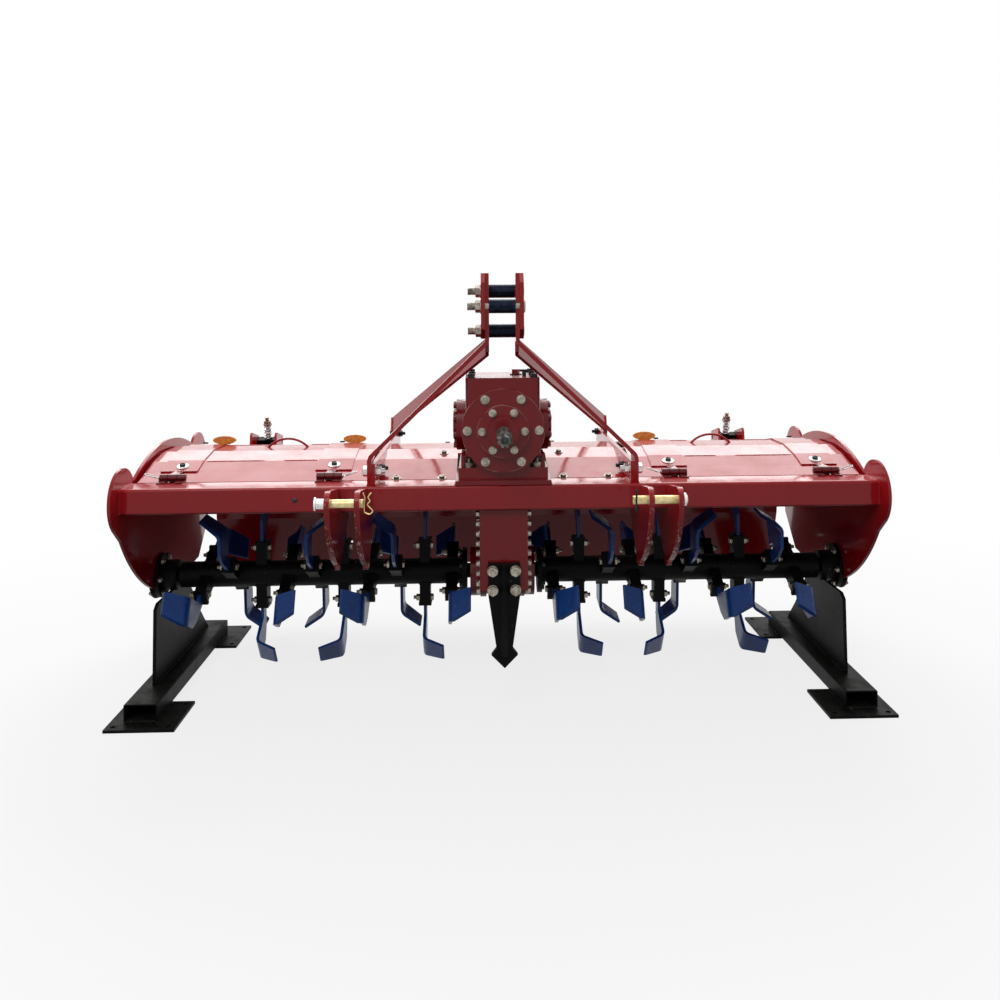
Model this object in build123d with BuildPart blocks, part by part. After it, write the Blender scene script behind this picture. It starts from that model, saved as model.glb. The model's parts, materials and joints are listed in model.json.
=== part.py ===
from build123d import *
import math
import os

# Rotary tiller on two parking stands. Sizes are in millimetres.
# X runs across the machine, Y from the tractor to the rear and Z up from the floor.

# ---- overall layout ----
frame_width = 2060
stub_reach = 200
rear_reach = 876
beam_front_y = (stub_reach - rear_reach) / 2
running_gap = 0.1
moving_gap = 8


def back(distance):
    """Y of a place that lies this far behind the front beam's front face."""
    return beam_front_y + distance


def at(point):
    """A (distance behind the front beam's face, height) pair as a YZ sketch point."""
    return (back(point[0]), point[1])


# ---- beams ----
beam_top = 636
front_beam_depth = 100
front_beam_height = 70
rear_beam_depth = 80
rear_beam_height = 80
beam_wall = 5
beam_corner = 8
rear_beam_middle = 710
front_beam_bottom = beam_top - front_beam_height
front_beam_middle = front_beam_depth / 2
rear_beam_z = beam_top - rear_beam_height / 2
rear_beam_face = rear_beam_middle + rear_beam_depth / 2

# ---- side plates ----
side_thickness = 8
side_inner_x = frame_width / 2
side_outer_x = side_inner_x + side_thickness
front_lobe = (31, 598)
front_lobe_radius = 90
rear_lobe = (696, 616)
rear_lobe_radius = 85
side_front_notch = (115, 642)
side_crown = (360, 715)
side_rear_notch = (617, 678)
side_rear_top = (781, 616)
side_rear_low = (796, 385)
side_rear_foot = (688, 277)
side_bottom = (400, 254)
side_belly = (198, 324)
side_front_low = (18, 491)
side_front_rise = (-33, 534)
side_hole = (150, 560)
side_hole_radius = 8

# ---- rotor ----
rotor_back = 320
rotor_z = 318
rotor_y = back(rotor_back)
rotor_tube_radius = 38
rotor_tube_wall = 8
rotor_shaft_radius = 22
rotor_end_inset = 65
rotor_end_x = side_inner_x - rotor_end_inset
rotor_inner_x = 106
rotor_flange_radius = 68
rotor_flange_thickness = 14
socket_width = 32
socket_depth = 48
socket_radius = 99
socket_root = 30
socket_lip = 3
socket_lip_height = 10
tine_thickness = 9
tine_shank_width = 34
tine_root_radius = 62
tine_fold_reach = 172
tine_fold_angle = 55
tine_bend_radius = 24
tine_foot_reach = 56
tine_foot_drop = 34
tine_corner = 11
tine_span = 170
first_station_x = 152
last_station_inset = 143
helix_angle = 60
pair_angle = 180
stations_per_turn = 3
# The side that each station's lower tine turns to, from the middle outwards on each half.
foot_sides = "RRRLLLRRRL"

# ---- rotor end bearings ----
bearing_boss_radius = 45
bearing_boss_length = 57
bearing_flange_radius = 66
bearing_flange_thickness = 12

# ---- gearbox ----
gearbox_half_width = 102
gearbox_corner = 14
plinth_half_width = 122
gearbox_front = 20
gearbox_rear = 270
plinth_height = 32
flare_half_width = 115
flare_height = 31
pocket_half_width = 17
pocket_x = 89
pocket_depth = 34
pocket_height = 30
gearbox_height = 277
cover_plate_thickness = 11
base_half_width = 130
base_rear = 285
base_thickness = 12
breather_x = 40
breather_radius = 11
breather_height = 16
input_z = 784
flange_radius = 113
flange_thickness = 24
inner_cap_radius = 70
inner_cap_thickness = 20
seal_radius = 41
seal_thickness = 26
side_cap_radius = 72
side_cap_thickness = 27
side_cap_back = 150
input_shaft_radius = 19
spline_count = 8
spline_width = 7
spline_depth = 3
spline_length = 78
shaft_neck_radius = 16.5

# ---- drop case ----
case_half_width = 48
case_flange_thickness = 18
case_front = 24
case_seat_bottom = 342
case_rear_top = 262
case_round_radius = 70
case_bearing_radius = 74
case_bearing_x = 96
case_rim = 16

# ---- ripper tine ----
ripper_top = 420
ripper_half_width = 43.5
ripper_plate_bottom = 336
ripper_neck_half_width = 22
ripper_neck_z = 190
ripper_barb_half_width = 36
ripper_barb_z = 172
ripper_tip_z = 136
ripper_thickness = 18
ripper_ridge_half_width = 14
ripper_ridge_depth = 16

# ---- mast ----
mast_foot_inner_x = 358
mast_flat_thickness = 11
mast_foot_rise = 72
mast_gap = 72
mast_top = 1210
mast_plate_height = 178
mast_bend_drop = 190
mast_upper_bolt_drop = 47
mast_front_bolt_drop = 90
mast_lower_bolt_drop = 158
mast_rear_bolt_back = 96
mast_front_bolt_back = 14
mast_front = 8
mast_flat_depth = 60
mast_plate_front = -18
mast_plate_rear = 128
mast_plate_corner = 26
mast_bolt_radius = 11
mast_bolt_overhang = 35
mast_spacer_radius = 19
mast_nut_radius = 18
mast_nut_thickness = 13
mast_head_thickness = 5
mast_bend_radius = 20

# ---- tie bars over the hood ----
tie_bar_thickness = 11
tie_bar_height = 60
tie_bar_front = 6
tie_bar_rear = 774

# ---- braces from the mast down to the tie bars' rear ends ----
brace_width = 50
brace_front = 73
brace_bend_drop = 14
brace_foot_back = 668
brace_foot_length = 92

# ---- lower hitch ----
hitch_half_span = 412.5
ear_gap = 62
ear_thickness = 14
ear_nose_radius = 32
pin_back = -132
pin_z = 618
pin_radius = 11
pin_overhang = 28
pin_inner_overhang = 38
pin_head_radius = 17
pin_head_thickness = 9
ear_root_top = 632
ear_front_bulge = (-118, 512)
ear_bottom_front = (0, 424)
ear_bottom_radius = 16
ear_bottom_rear = (40, 424)
ear_rear_low = (160, 538)

# ---- hood ----
hood_sheet = 4
hood_notch_gap = 0.5
hood_profile = [(112, 634), (170, 652), (235, 673), (330, 689), (450, 689), (570, 668), (662, 641)]
cover_tie_bar_gap = 20
cover_side_gap = 9
strap_thickness = 4
strap_profile = hood_profile[1:6]

# ---- cover hinges ----
hinge_back = 107
hinge_z = 648
hinge_radius = 10
hinge_pin_radius = 4.5
hinge_length = 72
hinge_inset = 109
inner_hinge_offset = 128
knuckle_length = 26
knuckle_gap = 0.5
hinge_leaf_length = 34

# ---- trailing board ----
board_inset = 30
board_half_width = side_inner_x - board_inset
board_sheet = 4
board_knuckle_inset = 100
board_hinge = (772, 570)
board_knuckle_radius = 14
board_pin_radius = 8
board_knuckle_length = 40
board_lug_thickness = 8
board_lug_gap = 1
board_leaf_lap = 12
board_profile = [(778, 549), (802, 380), (rear_reach, 196)]
rod_pin = (858, 420)
rod_swivel = (790, 655)

# ---- stands ----
foot_inset = 60
foot_x = side_inner_x - foot_inset
rail_inset = 47
rail_x = side_inner_x - rail_inset
rail_width = 90
rail_height = 46
rail_wall = 4
rail_front = 12
rail_rear = 700
foot_width = 187
foot_thickness = 8
foot_hole_radius = 7
foot_hole_margin = 20
upright_thickness = 10
upright_inset = 39
upright_x = side_inner_x - upright_inset

os.makedirs("parts", exist_ok=True)


# ---- front and rear beam ----
with BuildPart() as front_beam:
    with BuildSketch(Plane.YZ.offset(-side_inner_x)):
        with Locations((back(front_beam_middle), beam_top - front_beam_height / 2)):
            RectangleRounded(front_beam_depth, front_beam_height, beam_corner)
            Rectangle(front_beam_depth - 2 * beam_wall, front_beam_height - 2 * beam_wall, mode=Mode.SUBTRACT)
    extrude(amount=frame_width)
front_beam.part.label = "front_beam"
export_step(front_beam.part, "parts/front_beam.step")

with BuildPart() as rear_beam:
    with BuildSketch(Plane.YZ.offset(-side_inner_x)):
        with Locations((back(rear_beam_middle), rear_beam_z)):
            RectangleRounded(rear_beam_depth, rear_beam_height, beam_corner)
            Rectangle(rear_beam_depth - 2 * beam_wall, rear_beam_height - 2 * beam_wall, mode=Mode.SUBTRACT)
    extrude(amount=frame_width)
rear_beam.part.label = "rear_beam"
export_step(rear_beam.part, "parts/rear_beam.step")

# ---- side plates: a front lobe on the beam's end, a shallow crown and a rear lobe ----
with BuildPart() as side_plate_left:
    with BuildSketch(Plane.YZ.offset(-side_outer_x)):
        with BuildLine():
            ThreePointArc(at(side_front_notch), at(side_crown), at(side_rear_notch))
            Polyline(at(side_rear_notch), at(side_rear_top), at(side_rear_low), at(side_rear_foot), at(side_bottom))
            ThreePointArc(at(side_bottom), at(side_belly), at(side_front_low))
            Polyline(at(side_front_low), at(side_front_rise), at(side_front_notch))
        make_face()
        with Locations(at(front_lobe)):
            Circle(front_lobe_radius)
        with Locations(at(rear_lobe)):
            Circle(rear_lobe_radius)
        with Locations(at(side_hole)):
            Circle(side_hole_radius, mode=Mode.SUBTRACT)
        with Locations((rotor_y, rotor_z)):
            Circle(rotor_shaft_radius + moving_gap, mode=Mode.SUBTRACT)
    extrude(amount=side_thickness)
side_plate_left.part.label = "side_plate_left"
export_step(side_plate_left.part, "parts/side_plate_left.step")

with BuildPart() as side_plate_right:
    mirror(side_plate_left.part, about=Plane.YZ)
side_plate_right.part.label = "side_plate_right"
export_step(side_plate_right.part, "parts/side_plate_right.step")

# ---- rotor end bearings: a flange on the side plate and a boss round the shaft end ----
with BuildPart() as bearing_left:
    with BuildSketch(Plane.YZ.offset(-side_inner_x)):
        with Locations((rotor_y, rotor_z)):
            Circle(bearing_flange_radius)
    extrude(amount=bearing_flange_thickness)
    with BuildSketch(Plane.YZ.offset(-side_inner_x)):
        with Locations((rotor_y, rotor_z)):
            Circle(bearing_boss_radius)
    extrude(amount=bearing_boss_length)
    with BuildSketch(Plane.YZ.offset(-side_inner_x)):
        with Locations((rotor_y, rotor_z)):
            Circle(rotor_shaft_radius + running_gap)
    extrude(amount=bearing_boss_length, mode=Mode.SUBTRACT)

with BuildPart() as rotor_bearings:
    add(bearing_left.part)
    mirror(bearing_left.part, about=Plane.YZ)
rotor_bearings.part.label = "rotor_bearings"
export_step(rotor_bearings.part, "parts/rotor_bearings.step")

# ---- rotor: one shaft through both halves, a tube on each, and sockets in a helix ----
last_station_x = side_inner_x - last_station_inset
# One row for each socket: its X, its angle about the shaft and the side its tine turns to.
socket_rows = []
station_pitch = (last_station_x - first_station_x) / (len(foot_sides) - 1)
for half in (-1, 1):
    for station, side_letter in enumerate(foot_sides):
        station_x = half * (first_station_x + station * station_pitch)
        angle = (station % stations_per_turn - 1) * helix_angle
        hand = 1 if side_letter == "R" else -1
        socket_rows.append((station_x, angle, hand))
        socket_rows.append((station_x, angle + pair_angle, -hand))

with BuildPart() as socket:
    with BuildSketch(Plane.XY.offset(-socket_radius)):
        Rectangle(socket_width + 2 * socket_lip, socket_depth)
    extrude(amount=socket_lip_height)
    with BuildSketch(Plane.XY.offset(-socket_radius)):
        Rectangle(socket_width, socket_depth)
    extrude(amount=socket_radius - socket_root)
    with BuildSketch(Plane.XY.offset(-socket_radius)):
        Rectangle(tine_thickness, tine_shank_width)
    extrude(amount=socket_radius - tine_root_radius, mode=Mode.SUBTRACT)

with BuildPart() as rotor_tube:
    for half in (-1, 1):
        with BuildSketch(Plane.YZ.offset(half * rotor_inner_x)):
            with Locations((rotor_y, rotor_z)):
                Circle(rotor_tube_radius)
        extrude(amount=half * (rotor_end_x - rotor_inner_x))
        with BuildSketch(Plane.YZ.offset(half * rotor_inner_x)):
            with Locations((rotor_y, rotor_z)):
                Circle(rotor_flange_radius)
        extrude(amount=half * rotor_flange_thickness)
    for station_x, angle, hand in socket_rows:
        with Locations(Location((station_x, rotor_y, rotor_z), (angle, 0, 0))):
            add(socket.part)
    with BuildSketch(Plane.YZ.offset(-side_inner_x)):
        with Locations((rotor_y, rotor_z)):
            Circle(rotor_shaft_radius)
    extrude(amount=frame_width)
rotor_tube.part.label = "rotor_tube"
export_step(rotor_tube.part, "parts/rotor_tube.step")

# A tine hangs straight down from its socket: a flat shank that sweeps forward at its end, where
# the foot is folded out to one side about a sloping line.
fold_slope = math.radians(tine_fold_angle)
fold_plane = Plane(
    origin=(0, -tine_fold_reach * math.sin(fold_slope), -tine_fold_reach * math.cos(fold_slope)),
    x_dir=(1, 0, 0),
    z_dir=(0, math.cos(fold_slope), -math.sin(fold_slope)),
)
tine_half_width = tine_shank_width / 2
# One row for each corner of the tine's side view: its Y and its height from the rotor's axis.
tine_outline = [
    (-tine_half_width, -tine_root_radius),
    (tine_half_width, -tine_root_radius),
    (tine_half_width, -165),
    (2, -214),
    (-36, -240),
    (-94, -236),
    (-126, -188),
    (-84, -174),
    (-tine_half_width, -128),
]
with BuildPart() as tine_right:
    with BuildSketch(fold_plane):
        with BuildLine():
            FilletPolyline(
                (0, -tine_span),
                (0, 0),
                (tine_foot_reach, tine_foot_drop),
                radius=tine_bend_radius,
            )
            offset(amount=tine_thickness / 2, side=Side.BOTH)
        make_face()
    extrude(amount=tine_span, both=True)
    with BuildSketch(Plane.YZ) as tine_side_view:
        with BuildLine():
            Polyline(*tine_outline, close=True)
        make_face()
        fillet(tine_side_view.vertices().sort_by(Axis.Y)[:3], tine_corner)
    extrude(amount=tine_span, both=True, mode=Mode.INTERSECT)

with BuildPart() as tine_left:
    mirror(tine_right.part, about=Plane.YZ)


def half_tines(half):
    """All tines on one half of the rotor, each at its socket's place and angle."""
    with BuildPart() as tines:
        for station_x, angle, hand in socket_rows:
            if station_x * half > 0:
                with Locations(Location((station_x, rotor_y, rotor_z), (angle, 0, 0))):
                    add(tine_right.part if hand > 0 else tine_left.part)
    return tines.part


tines_left = half_tines(-1)
tines_left.label = "tines_left"
export_step(tines_left, "parts/tines_left.step")
tines_right = half_tines(1)
tines_right.label = "tines_right"
export_step(tines_right, "parts/tines_right.step")

# ---- gearbox on the beam's middle ----
base_top = beam_top + base_thickness
plinth_top = base_top + plinth_height
gearbox_top = base_top + gearbox_height - cover_plate_thickness
gearbox_depth = gearbox_rear - gearbox_front
gearbox_middle_y = back((gearbox_front + gearbox_rear) / 2)
with BuildPart() as gearbox_housing:
    with BuildSketch(Plane.XY.offset(beam_top)):
        with Locations((0, back(base_rear / 2))):
            Rectangle(2 * base_half_width, base_rear)
    extrude(amount=base_thickness)
    with BuildSketch(Plane.XY.offset(base_top)):
        with Locations((0, gearbox_middle_y)):
            Rectangle(2 * plinth_half_width, gearbox_depth)
    extrude(amount=plinth_height)
    with BuildSketch(Plane.XY.offset(plinth_top)):
        with Locations((0, gearbox_middle_y)):
            RectangleRounded(2 * gearbox_half_width, gearbox_depth, gearbox_corner)
    extrude(amount=gearbox_top - plinth_top)
    with BuildSketch(Plane.XY.offset(plinth_top)):
        with Locations((0, gearbox_middle_y)):
            Rectangle(2 * flare_half_width, gearbox_depth - 2 * gearbox_corner)
    extrude(amount=flare_height)
    with BuildSketch(Plane.XY.offset(plinth_top)):
        with Locations((0, gearbox_middle_y)):
            with GridLocations(2 * pocket_x, gearbox_depth - pocket_depth, 2, 2):
                Rectangle(2 * pocket_half_width, pocket_depth)
    extrude(amount=pocket_height, mode=Mode.SUBTRACT)
    with BuildSketch(Plane.XZ.offset(-back(gearbox_front))):
        with Locations((0, input_z)):
            Circle(shaft_neck_radius + moving_gap)
    extrude(amount=-(side_cap_back - gearbox_front), mode=Mode.SUBTRACT)
gearbox_housing.part.label = "gearbox_housing"
export_step(gearbox_housing.part, "parts/gearbox_housing.step")

with BuildPart() as gearbox_cover:
    with BuildSketch(Plane.XY.offset(gearbox_top)):
        with Locations((0, gearbox_middle_y)):
            RectangleRounded(2 * gearbox_half_width, gearbox_depth, gearbox_corner)
    extrude(amount=cover_plate_thickness)
    with BuildSketch(Plane.XY.offset(gearbox_top + cover_plate_thickness)):
        with Locations((breather_x, gearbox_middle_y)):
            RegularPolygon(breather_radius, 6)
    extrude(amount=breather_height)
gearbox_cover.part.label = "gearbox_cover"
export_step(gearbox_cover.part, "parts/gearbox_cover.step")

flange_front_y = back(gearbox_front) - flange_thickness
cap_front_y = flange_front_y - inner_cap_thickness
seal_front_y = cap_front_y - seal_thickness
with BuildPart() as input_flange:
    # One row for each disc of the stack: its radius, its rear face's Y and its thickness.
    for radius, rear_y, thickness in (
        (flange_radius, back(gearbox_front), flange_thickness),
        (inner_cap_radius, flange_front_y, inner_cap_thickness),
        (seal_radius, cap_front_y, seal_thickness),
    ):
        with BuildSketch(Plane.XZ.offset(-rear_y)):
            with Locations((0, input_z)):
                Circle(radius)
        extrude(amount=thickness)
    with BuildSketch(Plane.XZ.offset(-back(gearbox_front))):
        with Locations((0, input_z)):
            Circle(input_shaft_radius + running_gap)
    extrude(amount=flange_thickness + inner_cap_thickness + seal_thickness, mode=Mode.SUBTRACT)
input_flange.part.label = "input_flange"
export_step(input_flange.part, "parts/input_flange.step")

with BuildPart() as side_caps:
    for side in (-1, 1):
        with BuildSketch(Plane.YZ.offset(side * gearbox_half_width)):
            with Locations((back(side_cap_back), input_z)):
                Circle(side_cap_radius)
        extrude(amount=side * side_cap_thickness)
side_caps.part.label = "side_caps"
export_step(side_caps.part, "parts/side_caps.step")

# ---- splined input shaft ----
shaft_front_y = back(-stub_reach)
shaft_inner_y = back(side_cap_back - moving_gap)
with BuildPart() as input_shaft:
    with BuildSketch(Plane.XZ.offset(-back(gearbox_front))):
        with Locations((0, input_z)):
            Circle(input_shaft_radius)
    extrude(amount=back(gearbox_front) - shaft_front_y)
    with BuildSketch(Plane.XZ.offset(-shaft_inner_y)):
        with Locations((0, input_z)):
            Circle(shaft_neck_radius)
    extrude(amount=shaft_inner_y - back(gearbox_front))
    with BuildSketch(Plane.XZ.offset(-shaft_front_y)):
        with Locations((0, input_z)):
            with PolarLocations(input_shaft_radius, spline_count):
                Rectangle(2 * spline_depth, spline_width)
    extrude(amount=-spline_length, mode=Mode.SUBTRACT)
    chamfer(input_shaft.faces().sort_by(Axis.Y)[0].outer_wire().edges(), 1)
input_shaft.part.label = "input_shaft"
export_step(input_shaft.part, "parts/input_shaft.step")

# ---- drop case: from behind the beam down to the rotor, with a bolted flange on each side ----
case_points = [
    (front_beam_depth, beam_top),
    (front_beam_depth, front_beam_bottom),
    (case_front, front_beam_bottom),
    (case_front, case_seat_bottom),
    (rotor_back - case_round_radius, rotor_z - case_round_radius / 2),
    (rotor_back + case_round_radius, rotor_z + case_round_radius / 2),
    (case_rear_top, front_beam_bottom),
    (case_rear_top, beam_top),
]
with BuildPart() as drop_case:
    with BuildSketch(Plane.YZ.offset(-case_half_width)):
        with BuildLine():
            Polyline(*[at(point) for point in case_points], close=True)
        make_face()
        with Locations((rotor_y, rotor_z)):
            Circle(case_round_radius)
    extrude(amount=2 * case_half_width)
    for side in (-1, 1):
        with BuildSketch(Plane.YZ.offset(side * case_half_width)):
            with BuildLine():
                Polyline(*[at(point) for point in case_points[1:-1]], close=True)
            make_face()
            with Locations((rotor_y, rotor_z)):
                Circle(case_round_radius + case_rim / 2)
        extrude(amount=side * case_flange_thickness)
        with BuildSketch(Plane.YZ.offset(side * (case_half_width + case_flange_thickness))):
            with Locations((rotor_y, rotor_z)):
                Circle(case_bearing_radius)
        extrude(amount=side * (case_bearing_x - case_half_width - case_flange_thickness))
    with BuildSketch(Plane.YZ.offset(-case_bearing_x)):
        with Locations((rotor_y, rotor_z)):
            Circle(rotor_shaft_radius + running_gap)
    extrude(amount=2 * case_bearing_x, mode=Mode.SUBTRACT)
drop_case.part.label = "drop_case"
export_step(drop_case.part, "parts/drop_case.step")

# ---- ripper tine on the case's front: a plate with a ridge, a neck and a barbed point ----
with BuildPart() as ripper_tine:
    with BuildSketch(Plane.XZ.offset(-back(case_front))):
        with BuildLine():
            Polyline(
                (-ripper_half_width, ripper_top),
                (ripper_half_width, ripper_top),
                (ripper_half_width, ripper_plate_bottom),
                (ripper_neck_half_width, ripper_neck_z),
                (ripper_barb_half_width, ripper_barb_z),
                (0, ripper_tip_z),
                (-ripper_barb_half_width, ripper_barb_z),
                (-ripper_neck_half_width, ripper_neck_z),
                (-ripper_half_width, ripper_plate_bottom),
                close=True,
            )
        make_face()
    extrude(amount=ripper_thickness)
    with BuildSketch(Plane.XY.offset(ripper_barb_z)):
        with BuildLine():
            Polyline(
                (-ripper_ridge_half_width, back(case_front) - ripper_thickness),
                (0, back(case_front) - ripper_thickness - ripper_ridge_depth),
                (ripper_ridge_half_width, back(case_front) - ripper_thickness),
                close=True,
            )
        make_face()
    extrude(amount=ripper_top - ripper_barb_z)
ripper_tine.part.label = "ripper_tine"
export_step(ripper_tine.part, "parts/ripper_tine.step")

# ---- tie bars over the hood, one beside each mast foot ----
tie_bar_outer_x = mast_foot_inner_x
with BuildPart() as tie_bars:
    for side in (-1, 1):
        with BuildSketch(Plane.YZ.offset(side * tie_bar_outer_x)):
            with BuildLine():
                Polyline(
                    at((tie_bar_front, beam_top)),
                    at((tie_bar_front, beam_top + tie_bar_height)),
                    at((tie_bar_rear - tie_bar_height / 2, beam_top + tie_bar_height)),
                    at((tie_bar_rear, beam_top + tie_bar_height / 2)),
                    at((tie_bar_rear, beam_top)),
                    close=True,
                )
            make_face()
        extrude(amount=-side * tie_bar_thickness)
tie_bars.part.label = "tie_bars"
export_step(tie_bars.part, "parts/tie_bars.step")

# ---- mast: each arm is a bent flat from the beam to the top, with a wider plate outside it ----
mast_top_inner_x = mast_gap / 2
mast_plate_inner_x = mast_top_inner_x + mast_flat_thickness
mast_plate_middle_y = back((mast_plate_front + mast_plate_rear) / 2)
mast_plate_bottom = mast_top - mast_plate_height
mast_bend_z = mast_top - mast_bend_drop
mast_foot_top = beam_top + mast_foot_rise
# One row for each mast bolt: its place behind the beam's front face and its height.
mast_bolt_rows = [
    (mast_rear_bolt_back, mast_top - mast_upper_bolt_drop),
    (mast_front_bolt_back, mast_top - mast_front_bolt_drop),
    (mast_rear_bolt_back, mast_top - mast_lower_bolt_drop),
]
with BuildPart() as mast_arm_left:
    with BuildSketch(Plane.XZ.offset(-back(mast_front))):
        with BuildLine():
            FilletPolyline(
                (-mast_foot_inner_x, beam_top),
                (-mast_foot_inner_x, mast_foot_top),
                (-mast_top_inner_x, mast_bend_z),
                (-mast_top_inner_x, mast_top),
                radius=mast_bend_radius,
            )
            offset(amount=mast_flat_thickness, side=Side.LEFT)
        make_face()
    extrude(amount=-mast_flat_depth)
    with BuildSketch(Plane.YZ.offset(-mast_plate_inner_x)) as mast_plate:
        with Locations((mast_plate_middle_y, mast_top - mast_plate_height / 2)):
            Rectangle(mast_plate_rear - mast_plate_front, mast_plate_height)
        chamfer(mast_plate.vertices(), mast_plate_corner)
    extrude(amount=-mast_flat_thickness)
    for bolt_back, bolt_z in mast_bolt_rows:
        with BuildSketch(Plane.YZ.offset(-mast_plate_inner_x - mast_flat_thickness)):
            with Locations((back(bolt_back), bolt_z)):
                Circle(mast_bolt_radius)
        extrude(amount=2 * mast_flat_thickness + mast_gap, mode=Mode.SUBTRACT)
mast_arm_left.part.label = "mast_arm_left"
export_step(mast_arm_left.part, "parts/mast_arm_left.step")

with BuildPart() as mast_arm_right:
    mirror(mast_arm_left.part, about=Plane.YZ)
mast_arm_right.part.label = "mast_arm_right"
export_step(mast_arm_right.part, "parts/mast_arm_right.step")

mast_outer_x = mast_plate_inner_x + mast_flat_thickness
with BuildPart() as mast_bolts:
    for bolt_back, bolt_z in mast_bolt_rows:
        with BuildSketch(Plane.YZ.offset(-mast_outer_x - mast_bolt_overhang)):
            with Locations((back(bolt_back), bolt_z)):
                Circle(mast_bolt_radius)
        extrude(amount=2 * mast_outer_x + mast_bolt_overhang)
        with BuildSketch(Plane.YZ.offset(-mast_outer_x)):
            with Locations((back(bolt_back), bolt_z)):
                RegularPolygon(mast_nut_radius, 6)
        extrude(amount=-mast_nut_thickness)
        with BuildSketch(Plane.YZ.offset(mast_outer_x)):
            with Locations((back(bolt_back), bolt_z)):
                Circle(mast_nut_radius)
        extrude(amount=mast_head_thickness)
mast_bolts.part.label = "mast_bolts"
export_step(mast_bolts.part, "parts/mast_bolts.step")

with BuildPart() as mast_spacers:
    for bolt_back, bolt_z in mast_bolt_rows:
        with BuildSketch(Plane.YZ.offset(-mast_top_inner_x)):
            with Locations((back(bolt_back), bolt_z)):
                Circle(mast_spacer_radius)
                Circle(mast_bolt_radius, mode=Mode.SUBTRACT)
        extrude(amount=mast_gap)
mast_spacers.part.label = "mast_spacers"
export_step(mast_spacers.part, "parts/mast_spacers.step")

# ---- mast braces: a flat on each side from the mast's rear bolts to the tie bar's rear end ----
brace_top = Vector(
    mast_top_inner_x + mast_flat_thickness / 2,
    back(brace_front + brace_width / 2),
    mast_bend_z - brace_bend_drop,
)
brace_low = Vector(
    mast_foot_inner_x + mast_flat_thickness / 2,
    back(brace_foot_back),
    beam_top + tie_bar_height + brace_width / 2,
)
brace_run = (brace_low - brace_top).normalized()
brace_normal = Vector(1, 0, 0) - brace_run * brace_run.X
brace_foot_plane = Plane(
    origin=(mast_foot_inner_x, brace_low.Y, brace_low.Z),
    x_dir=(0, brace_run.Y, brace_run.Z),
    z_dir=(1, 0, 0),
)
with BuildPart() as brace_right:
    with BuildSketch(Plane(origin=brace_top, x_dir=brace_normal, z_dir=brace_run)):
        Rectangle(mast_flat_thickness, brace_width)
    extrude(amount=(brace_low - brace_top).length)
    with BuildSketch(Plane.YZ.offset(mast_top_inner_x)):
        with Locations((brace_top.Y, (brace_top.Z + mast_top - brace_bend_drop) / 2)):
            Rectangle(brace_width, mast_top - brace_bend_drop - brace_top.Z + brace_width / 2)
        for bolt_back, bolt_z in mast_bolt_rows:
            with Locations((back(bolt_back), bolt_z)):
                Circle(mast_bolt_radius, mode=Mode.SUBTRACT)
    extrude(amount=mast_flat_thickness)
    with BuildSketch(brace_foot_plane):
        with Locations((brace_foot_length / 2 - mast_flat_thickness, 0)):
            Rectangle(brace_foot_length, brace_width)
    extrude(amount=mast_flat_thickness)

with BuildPart() as mast_braces:
    add(brace_right.part)
    mirror(brace_right.part, about=Plane.YZ)
mast_braces.part.label = "mast_braces"
export_step(mast_braces.part, "parts/mast_braces.step")

# ---- lower hitch: two ears on each side with a pin across them ----
ear_inner_offset = ear_gap / 2
ear_outer_offset = ear_inner_offset + ear_thickness
with BuildPart() as ears_left:
    for ear_side in (-1, 1):
        with BuildSketch(Plane.YZ.offset(-hitch_half_span + ear_side * ear_inner_offset)) as ear_sketch:
            with BuildLine():
                Polyline(
                    at((pin_back - ear_nose_radius, pin_z)),
                    at((pin_back, pin_z + ear_nose_radius)),
                    at((0, ear_root_top)),
                    at((0, front_beam_bottom)),
                    at((ear_rear_low[0], front_beam_bottom)),
                    at(ear_rear_low),
                    at(ear_bottom_rear),
                    at((ear_bottom_rear[0], ear_bottom_rear[1] - ear_bottom_radius)),
                    at((ear_bottom_front[0], ear_bottom_front[1] - ear_bottom_radius)),
                    at(ear_bottom_front),
                )
                ThreePointArc(at(ear_bottom_front), at(ear_front_bulge), at((pin_back - ear_nose_radius, pin_z)))
            make_face()
            fillet(ear_sketch.vertices().sort_by(Axis.Y)[:2], ear_bottom_radius)
            with Locations(at((pin_back, pin_z))):
                Circle(ear_nose_radius)
                Circle(pin_radius, mode=Mode.SUBTRACT)
        extrude(amount=ear_side * ear_thickness)

with BuildPart() as hitch_ears:
    add(ears_left.part)
    mirror(ears_left.part, about=Plane.YZ)
hitch_ears.part.label = "hitch_ears"
export_step(hitch_ears.part, "parts/hitch_ears.step")

# One row for each pin: its ear pair's X, its reach to the left and its reach to the right.
pin_rows = [
    (-hitch_half_span, ear_outer_offset + pin_overhang, ear_outer_offset),
    (hitch_half_span, ear_outer_offset + pin_inner_overhang, ear_outer_offset),
]
with BuildPart() as hitch_pins:
    for middle_x, left_reach, right_reach in pin_rows:
        with BuildSketch(Plane.YZ.offset(middle_x - left_reach)):
            with Locations(at((pin_back, pin_z))):
                Circle(pin_radius)
        extrude(amount=left_reach + right_reach)
        with BuildSketch(Plane.YZ.offset(middle_x + right_reach)):
            with Locations(at((pin_back, pin_z))):
                Circle(pin_head_radius)
        extrude(amount=pin_head_thickness)
hitch_pins.part.label = "hitch_pins"
export_step(hitch_pins.part, "parts/hitch_pins.step")

# ---- hood: a fixed middle section between the tie bars and a lifting cover on each side ----
hood_centre_half_width = tie_bar_outer_x - tie_bar_thickness - running_gap
cover_inner_x = tie_bar_outer_x + cover_tie_bar_gap
cover_outer_x = side_inner_x - cover_side_gap
cover_width = cover_outer_x - cover_inner_x


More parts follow.
